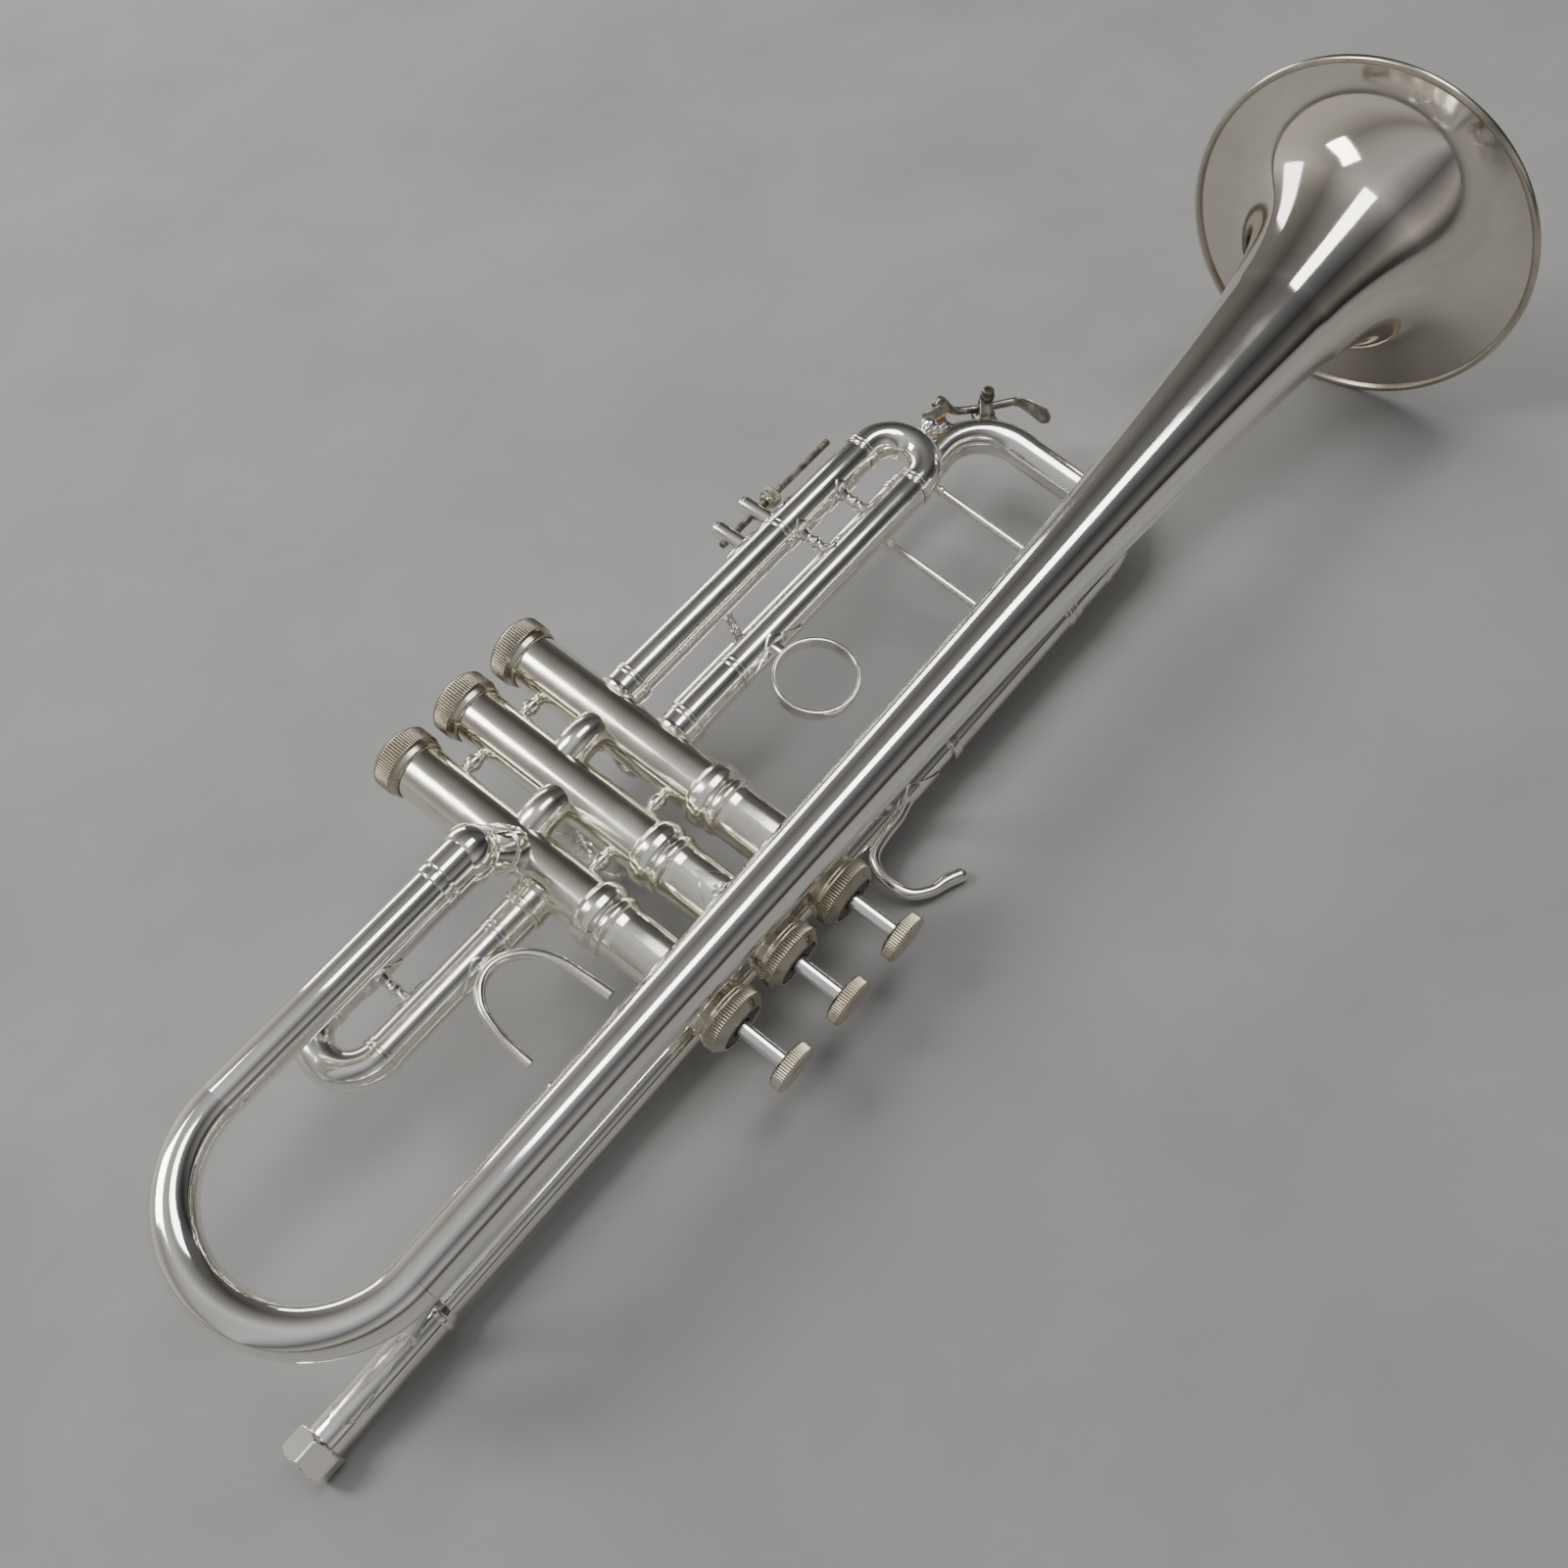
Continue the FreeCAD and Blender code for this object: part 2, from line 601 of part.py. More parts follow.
def slide1_moving():
    shoulder_x = S1_JOINT_X - 0.4
    shapes = [u_tube(V(S1_CROOK_X, 0, S1_MID_Z), SLIDE_PITCH / 2, X * -1, Z,
                     shoulder_x - S1_CROOK_X, 10.5, LEG_R)]
    for z in (SLIDE1_HIGH_Z, SLIDE1_LOW_Z):
        shapes.append(ring_on(V(S1_CROOK_X + 2.4, 0, z), X * -1, 2.6, MOVING_R - BITE, 6.7))
        shapes.append(ring_on(V(shoulder_x - 0.2, 0, z), X * -1, 3.0, MOVING_R - BITE, 6.45))
    return fuse(shapes + [slide1_leg_brace()])


def slide1_leg_brace():
    x = SLIDE1_BRACE_X
    low = V(0, 0, SLIDE1_LOW_Z)
    high = V(0, 0, SLIDE1_HIGH_Z)
    tube_r = MOVING_R - BITE
    tubes = [rod(low - X * 100, low, tube_r), rod(high - X * 100, high, tube_r)]
    post = cross_brace(V(x, 0, SLIDE1_LOW_Z + MOVING_R - 0.6),
                       V(x, 0, SLIDE1_HIGH_Z - MOVING_R + 0.6), 1.6, 2.8, tubes)
    plates = [diamond(V(x, 0, SLIDE1_LOW_Z + MOVING_R), Z, X, 8.0, 5.0, low, X, tube_r,
                      0.85),
              diamond(V(x, 0, SLIDE1_HIGH_Z - MOVING_R), Z * -1, X, 8.0, 5.0, high, X,
                      tube_r, 0.85)]
    return fuse([post] + plates)


def thumb_saddle():
    route = [V(-43.2, 6, 9.5), V(-44.6, 6, -12.0), V(-53.0, 6, -22.0),
             V(-66.0, 6, -21.0), V(-71.5, 6, -9.0), V(-72.6, 6, 6.0)]
    bow = bent_rod(route, 6.0, 1.7)
    tips = [Part.makeSphere(1.75, route[0]), Part.makeSphere(1.75, route[-1])]
    high = V(0, 0, SLIDE1_HIGH_Z)
    foot = rod(V(-60.5, 3.2, SLIDE1_HIGH_Z + 4), V(-60.5, 5.6, -21.4), 1.9)
    plate = diamond(V(-60.5, 0, SLIDE1_HIGH_Z + MOVING_R), (Z + Y * 0.5).normalize(), X,
                    9.5, 4.6, high, X, MOVING_R)
    tube = rod(high - X * 150, high, MOVING_R)
    return fuse([bow] + tips + [foot, plate]).cut(tube)


# second slide, to the right of valve 2
S2_JOINT_Y = -24.0
S2_CROOK_Y = -29.5


def slide2_fixed():
    shapes = []
    for z in (SLIDE1_HIGH_Z, SLIDE1_LOW_Z):
        tube = sleeve(V(0, 0, z), V(0, S2_JOINT_Y, z))
        bead = ring_on(V(0, -11.0, z), Y * -1, 3.0, SLEEVE_R - BITE, 7.2)
        shapes.append(tube.fuse(bead).cut(casing_body(0)).removeSplitter())
    return Part.makeCompound(shapes)


def slide2_moving():
    shapes = [u_tube(V(0, S2_CROOK_Y, S1_MID_Z), SLIDE_PITCH / 2, Y * -1, Z,
                     S2_JOINT_Y - 0.4 - S2_CROOK_Y, 12.5, LEG_R), slide2_knob()]
    for z in (SLIDE1_HIGH_Z, SLIDE1_LOW_Z):
        shapes.append(ring_on(V(0, S2_CROOK_Y + 2.0, z), Y * -1, 2.4, MOVING_R - BITE, 6.6))
    return fuse(shapes)


def slide2_knob():
    base = V(0, S2_CROOK_Y - SLIDE_PITCH / 2 - MOVING_R + 0.7, S1_MID_Z)
    solid = u_rod(V(0, S2_CROOK_Y, S1_MID_Z), SLIDE_PITCH / 2, Y * -1, Z, 2.0, MOVING_R)
    return knob(base, Y * -1, 3.4).cut(solid)


# main tuning slide
def main_low(x):
    return V(x, MAIN_LOW_Y, MAIN_LOW_Z)


def main_sleeve_low():
    """Fixed lower tube: from valve 3's right side, round and forward."""
    route = [V(SPACING, -4.0, MAIN_LOW_Z), main_low(SPACING), main_low(MAIN_JOINT_X)]
    body = bent_tube(route, MAIN_REAR_R, SLEEVE_R, LEG_R + LEG_GAP)
    bead = ring_on(V(SPACING, -9.6, MAIN_LOW_Z), Y * -1, 2.8, SLEEVE_R - BITE, 7.1)
    end = ring_on(main_low(MAIN_JOINT_X - 3.2), X, 3.2, SLEEVE_R - BITE, 6.9)
    return fuse([body, bead, end]).cut(casing_body(SPACING))


def main_sleeve_high():
    start = on_lead(LEAD_FRONT_X)
    body = pipe_piece(start, on_lead(MAIN_JOINT_X), SLEEVE_R, LEG_R + LEG_GAP)
    stub = pipe_piece(start, on_lead(LEAD_FRONT_X + 14), LEG_R + LEG_GAP, 5.5)
    rear = ring_on(start, X, 4.0, SLEEVE_R - BITE, 7.0)
    end = ring_on(on_lead(MAIN_JOINT_X - 3.2), X, 3.2, SLEEVE_R - BITE, 6.9)
    return fuse([body, stub, rear, end])


def main_crook_route():
    return [main_low(MAIN_JOINT_X + 0.4), main_low(MAIN_APEX_X),
            on_lead(MAIN_APEX_X), on_lead(MAIN_JOINT_X + 0.4)]


def tuning_slide():
    route = main_crook_route()
    ends = [main_low(118.0), on_lead(118.0)]
    outer = fuse([bent_rod(route, MAIN_CORNER_R, MOVING_R), rod(ends[0], route[0], LEG_R),
                  rod(ends[1], route[-1], LEG_R)])
    bore = bent_rod([ends[0], route[1], route[2], ends[1]], MAIN_CORNER_R, LEG_R - WALL)
    shapes = [outer.cut(bore)]
    for point in (main_low, on_lead):
        shapes.append(ring_on(point(MAIN_JOINT_X + 0.6), X, 3.2, MOVING_R - BITE, 6.6))
        shapes.append(ring_on(point(183.0), X, 2.6, MOVING_R - BITE, 6.6))
    return fuse(shapes)


def long_brace(x, tube_r):
    """Thin turned brace between the two tubes of the main slide."""
    way = (on_lead(x) - main_low(x)).normalize()
    start = main_low(x) + way * (tube_r - 0.4)
    length = (on_lead(x) - main_low(x)).Length - 2 * (tube_r - 0.4)
    half = [(0, 0), (0, 2.4), (1.4, 2.4), (1.9, 1.5), (3.2, 1.5), (3.6, 2.1), (4.6, 2.1),
            (5.2, 1.35)]
    profile = half + [(length - along, radius) for along, radius in reversed(half)]
    post = turned(profile, start, way)
    for point in (main_low, on_lead):
        post = post.cut(rod(point(x - 20), point(x + 20), tube_r))
    return post


# water key on the lower front corner of the main slide
DOWN = (main_low(0) - on_lead(0)).normalize()       # within the main slide's plane
LEFT = X.cross(DOWN).normalize()                    # square to that plane
CORNER = main_low(MAIN_APEX_X) - (X + DOWN) * MAIN_CORNER_R
KEY_ANGLE = math.radians(76)        # round the corner, from straight ahead
KEY_TILT = math.radians(30)         # the nipple leans to the left
KEY_OUT = X * math.cos(KEY_ANGLE) + DOWN * math.sin(KEY_ANGLE)
KEY_WAY = KEY_OUT * math.cos(KEY_TILT) + LEFT * math.sin(KEY_TILT)
KEY_ROOT = CORNER + KEY_OUT * MAIN_CORNER_R
KEY_SEAT = KEY_ROOT + KEY_WAY * 9.6
KEY_Y = -22.5
KEY_PIVOT = V(216.5, KEY_Y, -44.5)


def water_nipple():
    profile = [(4.6, 1.0), (4.6, 3.2), (6.8, 3.0), (7.6, 2.4), (9.6, 2.4), (9.6, 1.0)]
    shape = turned(profile, KEY_ROOT, KEY_WAY)
    return shape.cut(bent_rod(main_crook_route(), MAIN_CORNER_R, MOVING_R))


def water_cork():
    return rod(KEY_SEAT + KEY_WAY * 0.05, KEY_SEAT + KEY_WAY * 3.6, 3.9)


def water_lever():
    """Cork cup, arm over the pivot and a thumb leaf."""
    cup = pipe_piece(KEY_SEAT + KEY_WAY * 1.2, KEY_SEAT + KEY_WAY * 4.4, 4.7, 3.9)
    lid = rod(KEY_SEAT + KEY_WAY * 3.6, KEY_SEAT + KEY_WAY * 4.6, 4.7)
    arm_start = KEY_SEAT + KEY_WAY * 4.0 + X * 2.5
    arm = bent_rod([arm_start, V(207.0, KEY_Y + 1.5, -52.4), KEY_PIVOT,
                    V(225.5, KEY_Y, -38.0)], 3.0, 1.5)
    hub = rod(KEY_PIVOT - Y * 2.6, KEY_PIVOT + Y * 2.6, 2.9)
    leaf = Part.makeBox(1.4, 8.0, 15.0, V(226.4, KEY_Y - 4.0, -38.2))
    edges = [e for e in leaf.Edges if abs(e.tangentAt(e.FirstParameter).x) > 0.9]
    leaf = leaf.makeFillet(3.6, edges)
    lever = fuse([cup, lid, arm, hub, leaf]).cut(rod(KEY_SEAT, KEY_SEAT + KEY_WAY * 3.6, 3.9))
    return lever.cut(rod(KEY_PIVOT - Y * 4, KEY_PIVOT + Y * 4, 1.06))


def key_bridge():
    """Two lugs on the crook that carry the pivot screw."""
    lugs = []
    for side in (-1, 1):
        plate = Part.makeBox(5.0, 1.4, 10.0, V(-2.5, -0.7, -7.4))
        plate = plate.makeFillet(2.4, [e for e in plate.Edges
                                       if abs(e.tangentAt(e.FirstParameter).y) > 0.9
                                       and e.CenterOfMass.z > 0])
        lean = KEY_PIVOT - CORNER
        angle = math.degrees(math.atan2(lean.x, lean.z))
        plate.rotate(V(0, 0, 0), Y, angle)
        plate.translate(KEY_PIVOT + Y * side * 4.6)
        lugs.append(plate)
    way = (KEY_PIVOT - CORNER).normalize()
    saddle = rod(CORNER + way * (MAIN_CORNER_R + 3.0), CORNER + way * (MAIN_CORNER_R + 7.4),
                 4.7)
    bridge = fuse(lugs + [saddle])
    bridge = bridge.cut(bent_rod(main_crook_route(), MAIN_CORNER_R, MOVING_R))
    return bridge.cut(rod(KEY_PIVOT - Y * 8, KEY_PIVOT + Y * 8, 1.0))


def pivot_screw():
    profile = [(0, 0), (0, 1.0), (11.2, 1.0), (11.2, 2.6), (12.6, 2.6), (13.2, 2.1),
               (14.6, 2.1), (15.0, 1.7), (15.0, 0)]
    return turned(profile, KEY_PIVOT - Y * 5.8, Y)


def key_spring():
    side = Y * -3.4
    loop = Part.makeTorus(4.0, 0.4, KEY_PIVOT + side, Y)
    tail = rod(KEY_PIVOT + side + X * -4.0, KEY_PIVOT + side + V(-7.5, 0, -2.0), 0.4)
    return loop.fuse(tail).removeSplitter()


# ---- braces between bell and body, little-finger hook ------------------------
def bell_lead_brace(bell_x, lead_x, tube_r):
    """Turned post from the bell tube to the leadpipe, with a flange at the bell."""
    bell_side = V(bell_x, BELL_Y - bell_radius(bell_x) + 0.5, BELL_Z - 0.6)
    lead_side = V(lead_x, LEAD_Y + tube_r - 0.5, LEAD_Z)
    tubes = [rod(on_lead(lead_x - 30), on_lead(lead_x + 30), tube_r)]
    post = cross_brace(lead_side, bell_side, 1.8, 3.0, tubes)
    bell_r = bell_radius(bell_x) + 0.12
    at_bell = diamond(V(bell_x, 0, BELL_Z), Y * -1, X, 9.5, 6.5, V(0, BELL_Y, BELL_Z), X,
                      bell_r)
    cavity = rod(V(bell_x - 30, BELL_Y, BELL_Z), V(bell_x + 30, BELL_Y, BELL_Z), bell_r)
    return post.cut(cavity).fuse(at_bell)


def rear_brace():
    """Leaning post behind the bow, from a long kite flange on the receiver."""
    receiver_r = 6.0
    foot_x = -146.0
    post = bell_lead_brace(-118.0, foot_x, receiver_r)
    kite = diamond(V(-160.0, 0, LEAD_Z), Y, X, 17.0, 4.8, on_lead(0), X, receiver_r,
                   widest=-11.0)
    return fuse([post, kite])


def front_brace():
    x = 66.0
    lead_r = 5.42
    plate = diamond(V(x, 0, LEAD_Z), Y, X, 9.5, 5.0, on_lead(0), X, lead_r)
    return fuse([bell_lead_brace(x, x, lead_r), plate])


def bell_casing_brace():
    start = V(0, CASING_R - 0.6, 13.0)
    end = V(0, BELL_Y - 4.0, 21.5)
    post = cross_brace(start, end, 1.8, 3.0, [])
    plate = diamond(V(0, 0, 12.0), Y, Z, 9.0, 7.0, V(0, 0, 0), Z, CASING_R)
    cavity = rod(V(-30, BELL_Y, BELL_Z), V(30, BELL_Y, BELL_Z), bell_radius(0) + 0.3)
    return fuse([post.cut(cavity).cut(casing_body(0)), plate])


def finger_hook():
    y = LEAD_Y + 2.0
    route = [V(66.0, y, 31.2), V(46.6, y, 35.4), V(46.6, y, 50.0), V(56.0, y, 55.0),
             V(64.5, y, 58.6)]
    bar = bent_rod(route, 6.0, 1.9)
    tip = Part.makeSphere(2.4, route[-1])
    plate = diamond(V(HOOK_PLATE_X, 0, LEAD_Z), (Z + Y * 0.3).normalize(), X, 12.0, 4.8,
                    on_lead(0), X, 5.5)
    foot = rod(V(73.0, y - 0.4, 29.6), route[0], 1.9)
    pipe = rod(on_lead(0), on_lead(120), 5.5)
    return fuse([bar, tip, plate, foot]).cut(pipe)


def slide_link_brace():
    """Short brace from slide 3's fixed tube to the main slide's fixed tube."""
    low3 = V(LINK_BRACE_X, 0, SLIDE3_LOW_Z)
    low_main = main_low(LINK_BRACE_X)
    way = (low_main - low3).normalize()
    start = low3 + way * (SLEEVE_R - 0.5)
    end = low_main - way * (SLEEVE_R - 0.5)
    tubes = [rod(low3 - X * 20, low3 + X * 20, SLEEVE_R),
             rod(low_main - X * 20, low_main + X * 20, SLEEVE_R)]
    middle = (end - start).Length / 2
    profile = [(0, 0), (0, 2.6), (1.6, 2.2), (2.8, 1.7), (middle, 2.5),
               (2 * middle - 2.8, 1.7), (2 * middle - 1.6, 2.2), (2 * middle, 2.6),
               (2 * middle, 0)]
    post = turned(profile, start, way)
    for tube in tubes:
        post = post.cut(tube)
    return post


# ---- put the pieces together ---------------------------------------------------
def build():
    for n, x in enumerate(VALVE_X, start=1):
        pieces["valve_casing_%d" % n] = valve_casing(x)
        pieces["bottom_cap_%d" % n] = bottom_cap(x)
        pieces["top_cap_%d" % n] = top_cap(x)
        pieces["top_felt_%d" % n] = top_felt(x)
        pieces["piston_%d" % n] = piston(x)
        pieces["valve_stem_%d" % n] = valve_stem(x)
        pieces["valve_spring_%d" % n] = valve_spring(x)
        pieces["finger_button_%d" % n] = finger_button(x)
    pieces["crossover_knuckles"] = Part.makeCompound(
        [knuckle(-SPACING / 2, KNUCKLE_12_Z), knuckle(SPACING / 2, KNUCKLE_23_Z)])
    pieces["casing_struts"] = casing_struts()
    pieces["bell"] = bell()
    pieces["bell_rim"] = bell_rim()
    pieces["bell_bow"] = bell_bow()
    pieces["bell_tail"] = bell_tail()
    pieces["tail_elbow"] = Part.makeCompound([tail_elbow(), tail_ferrule(),
                                              elbow_ferrule()])
    pieces["leadpipe"] = leadpipe()
    pieces["mouthpiece_receiver"] = receiver()
    pieces["receiver_rings"] = Part.makeCompound([receiver_collar(), receiver_ring()])
    pieces["main_slide_sleeves"] = Part.makeCompound([main_sleeve_high(),
                                                      main_sleeve_low()])
    pieces["fixed_slide_braces"] = Part.makeCompound([long_brace(FIXED_BRACE_X, SLEEVE_R),
                                                      slide_link_brace()])
    pieces["tuning_slide"] = tuning_slide()
    pieces["tuning_slide_brace"] = long_brace(SLIDE_BRACE_X, MOVING_R)
    pieces["water_cork"] = water_cork()
    pieces["water_lever"] = water_lever()
    pieces["water_key_fittings"] = Part.makeCompound([key_bridge(), water_nipple()])
    pieces["pivot_screw"] = pivot_screw()
    pieces["key_spring"] = key_spring()
    pieces["slide_1_sleeves"] = Part.makeCompound(
        [slide1_fixed(SLIDE1_HIGH_Z), slide1_fixed(SLIDE1_LOW_Z)])
    pieces["slide_1_crook"] = slide1_moving()
    pieces["thumb_saddle"] = thumb_saddle()
    pieces["slide_2_sleeves"] = slide2_fixed()
    pieces["slide_2_crook"] = slide2_moving()
    pieces["slide_3_sleeves"] = Part.makeCompound(
        [slide3_fixed(SLIDE3_LOW_Z, S3_FIXED_LOW_END),
         slide3_fixed(SLIDE3_HIGH_Z, S3_FIXED_HIGH_END)])
    pieces["slide_3_legs"] = Part.makeCompound(
        [slide3_leg(SLIDE3_LOW_Z, S3_FIXED_LOW_END),
         slide3_leg(SLIDE3_HIGH_Z, S3_FIXED_HIGH_END)])
    pieces["slide_3_braces"] = slide3_braces()
    pieces["slide_3_end_crook"] = slide3_crook()
    pieces["finger_ring"] = finger_ring()
    pieces["stop_post_fixed"] = fixed_post()
    pieces["stop_post_moving"] = moving_post()
    pieces["stop_rod"] = stop_rod()
    pieces["stop_nut"] = stop_nut()
    pieces["bell_braces"] = Part.makeCompound([rear_brace(), front_brace(),
                                               bell_casing_brace()])
    pieces["finger_hook"] = finger_hook()


def without_specks(shape):
    """The shape's real solids, without the specks a cut along a seam can leave."""
    solids = [solid for solid in shape.Solids if solid.Volume > SPECK_VOLUME]
    return solids[0] if len(solids) == 1 else Part.makeCompound(solids)


def laid_down():
    """Placement that lays the instrument on its right side."""
    onto_side = FreeCAD.Rotation(X, 90 + REST_TILT)
    pitch = FreeCAD.Rotation(Y, REST_PITCH)
    return FreeCAD.Placement(V(0, 0, 0), pitch.multiply(onto_side))


def write_all():
    build()
    place = laid_down()
    box = FreeCAD.BoundBox()
    for name, shape in pieces.items():
        pieces[name] = without_specks(shape)
        pieces[name].Placement = place.multiply(pieces[name].Placement)
        box.add(pieces[name].optimalBoundingBox(False))
    shift = V(-box.Center.x, -box.Center.y, -box.ZMin)
    for name, shape in pieces.items():
        shape.translate(shift)
        if not shape.isValid():
            print("invalid shape:", name)
        shape.exportStep("parts/%s.step" % name)
    print("shift", tuple(shift), "size", box.XLength, box.YLength, box.ZLength)
    print("nodes", len(pieces))


write_all()
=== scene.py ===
import bmesh
import bpy
import json
import math
import numpy as np
from mathutils import Matrix, Vector


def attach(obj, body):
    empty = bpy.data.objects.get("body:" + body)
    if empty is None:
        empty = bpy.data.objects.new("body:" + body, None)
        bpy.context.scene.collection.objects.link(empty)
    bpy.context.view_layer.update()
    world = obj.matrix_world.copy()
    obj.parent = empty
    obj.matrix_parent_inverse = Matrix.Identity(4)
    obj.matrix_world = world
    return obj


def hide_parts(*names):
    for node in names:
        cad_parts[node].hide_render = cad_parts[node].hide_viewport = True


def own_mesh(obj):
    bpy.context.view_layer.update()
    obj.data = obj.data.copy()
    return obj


# Looks of a silver-plated cornet.  Shapes are drawn in the instrument's own
# frame in millimetres (x forward along the bell, y to the player's left, z
# towards the finger buttons, origin on the middle valve's axis) and placed
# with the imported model's joint axes, so they lie where its solids are.

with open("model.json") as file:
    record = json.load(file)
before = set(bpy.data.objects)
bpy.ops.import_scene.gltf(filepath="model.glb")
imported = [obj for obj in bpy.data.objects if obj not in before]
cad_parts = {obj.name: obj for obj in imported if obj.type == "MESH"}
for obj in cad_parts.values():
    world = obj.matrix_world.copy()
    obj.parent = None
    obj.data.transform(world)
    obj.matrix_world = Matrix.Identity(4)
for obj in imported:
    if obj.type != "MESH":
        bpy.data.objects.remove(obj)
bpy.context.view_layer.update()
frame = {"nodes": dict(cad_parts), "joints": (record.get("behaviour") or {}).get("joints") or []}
JOINTS = {joint["name"]: joint for joint in frame["joints"]}

MM = 0.001
TAU = 2 * math.pi
CAP_JOINT_Z = 38.0        # height of the top cap's joint above the origin


def axis_of(joint_name):
    return np.array(JOINTS[joint_name]["axis"], float)


FORWARD = axis_of("tuning_slide_pull")
UPWARD = axis_of("top_cap_2_screw")
LEFTWARD = np.cross(UPWARD, FORWARD)
ORIGIN = np.array(JOINTS["top_cap_2_screw"]["pos_m"]) - UPWARD * CAP_JOINT_Z * MM
BASIS = np.array([FORWARD, LEFTWARD, UPWARD])


def to_row(points):
    """Instrument millimetres to the model's frame in metres."""
    return np.asarray(points, float) @ BASIS * MM + ORIGIN


# ---- driving dimensions, millimetres ---------------------------------------
SPACING = 25.4
VALVE_X = {1: -SPACING, 2: 0.0, 3: SPACING}
CASING_R = 9.1            # outside
BORE_R = 8.28             # inside of a casing
CAP_R = 10.9              # over the knurling
BELL_Y = 26.5
BELL_Z = 27.6
BOW_R = 35.3
BOW_X = -133.9
BOW_END_R = 7.6
TAIL_Z = BELL_Z - 2 * BOW_R
TAIL_R = 6.0
TAIL_END_X = -52.0
FLARE_X = 262.0
# stations along the bell's tube: place and outside radius
BELL_TUBE = [(BOW_X, BOW_END_R), (-60.0, 8.3), (0.0, 9.0), (60.0, 9.75), (110.0, 10.7),
             (150.0, 11.9), (187.0, 13.8), (215.0, 15.75), (240.0, 17.7), (FLARE_X, 20.0)]
BELL_END_X = 317.0
BELL_END_R = 60.3
RIM_WIRE_R = 1.25
WALL = 0.5
EDGE = 0.001              # radius that closes a turned end on its axis
COIL_R = 5.2
COIL_WIRE_R = 0.45
COIL_BOTTOM_Z = -90.8
COIL_HEIGHT = 14.7
COIL_TURNS = 7
SLEEVE_R = 6.35           # fixed outer slide tubes
LEG_R = 5.8               # legs that slide in them
LEG_GAP = 0.04            # running fit
LEG_BORE = LEG_R - WALL
MOVING_R = 6.1            # moving tubes outside the sleeves
LEAD_Y = -26.0
LEAD_Z = 25.4
MAIN_LOW_Y = -21.0
MAIN_LOW_Z = -44.0
MAIN_CORNER_R = 20.0      # the crook's two bends
MAIN_APEX_X = 209.5
MAIN_REAR_R = 8.5         # bend out of valve 3
MAIN_JOINT_X = 164.4      # where crook meets sleeves
SLIDE_PITCH = 22.2        # between the legs of each valve slide
SLIDE3_LOW_Z = -56.0
SLIDE3_HIGH_Z = SLIDE3_LOW_Z + SLIDE_PITCH
SLIDE1_HIGH_Z = -29.5
SLIDE1_LOW_Z = SLIDE1_HIGH_Z - SLIDE_PITCH
RECEIVER_END_X = -189.0
RECEIVER_RING_X = -138.2
RECEIVER_R = 6.0
LEAD_END_X = 110.0
FRONT_BRACE_X = 66.0
LEAD_R_AT_BRACE = 5.42
REAR_BRACE_X = (-118.0, -146.0)    # on the bell, on the receiver
LINK_BRACE_X = 81.0
FIXED_BRACE_X = 147.0
SLIDE_BRACE_X = 176.0
SLIDE1_BRACE_X = -80.0
SLIDE3_BRACE_X = (117.5, 138.3)
ROD_START_X = 97.0
ROD_END_X = 152.5
ROD_Z = -67.6
ROD_R = 1.25
X = np.array([1.0, 0, 0])
Y = np.array([0, 1.0, 0])
Z = np.array([0, 0, 1.0])


def P(x, y, z):
    return np.array([x, y, z], float)


def unit(v):
    return np.asarray(v, float) / np.linalg.norm(v)


# ---- mesh parts: each is (vertices in mm, faces) -----------------------------
def grid(points, wrap_rows=False, wrap_columns=True):
    """Quads over an array of rows x columns x 3."""
    rows, columns = points.shape[:2]
    faces = []
    for i in range(rows if wrap_rows else rows - 1):
        for j in range(columns if wrap_columns else columns - 1):
            a = i * columns + j
            b = i * columns + (j + 1) % columns
            c = (i + 1) % rows * columns + (j + 1) % columns
            d = (i + 1) % rows * columns + j
            faces.append((a, b, c, d))
    return points.reshape(-1, 3), faces


def side_vectors(axis):
    axis = unit(axis)
    helper = Y if abs(axis[1]) < 0.9 else X
    first = unit(np.cross(axis, helper))
    return first, np.cross(axis, first)


def softened(profile, radius, closed=False, steps=4):
    """Rounds the corners of an outline of (along, radius) points."""
    points = [np.array(p, float) for p in profile]
    count = len(points)
    result = []
    for i, corner in enumerate(points):
        if not closed and i in (0, count - 1):
            result.append(corner)
            continue
        before = points[i - 1] - corner
        after = points[(i + 1) % count] - corner
        reach = min(radius, np.linalg.norm(before) * 0.45, np.linalg.norm(after) * 0.45)
        start = corner + unit(before) * reach
        end = corner + unit(after) * reach
        for k in range(steps + 1):
            t = k / steps
            result.append((1 - t) ** 2 * start + 2 * t * (1 - t) * corner + t * t * end)
    return result


def lathe(profile, origin, axis, soft=0.25, closed=True, steps=72, relief=None):
    """Turned body; relief(along, angles, radius) is added to the radius."""
    if soft:
        profile = softened(profile, soft, closed)
    first, second = side_vectors(axis)
    turn = np.arange(steps) * TAU / steps
    ring = np.cos(turn)[:, None] * first + np.sin(turn)[:, None] * second
    rows = []
    for along, radius in profile:
        r = np.full(steps, float(radius))
        if relief is not None and radius > 0:
            r = r + relief(along, turn, radius)
        rows.append(np.asarray(origin) + unit(axis) * along + ring * r[:, None])
    return grid(np.array(rows), wrap_rows=closed)


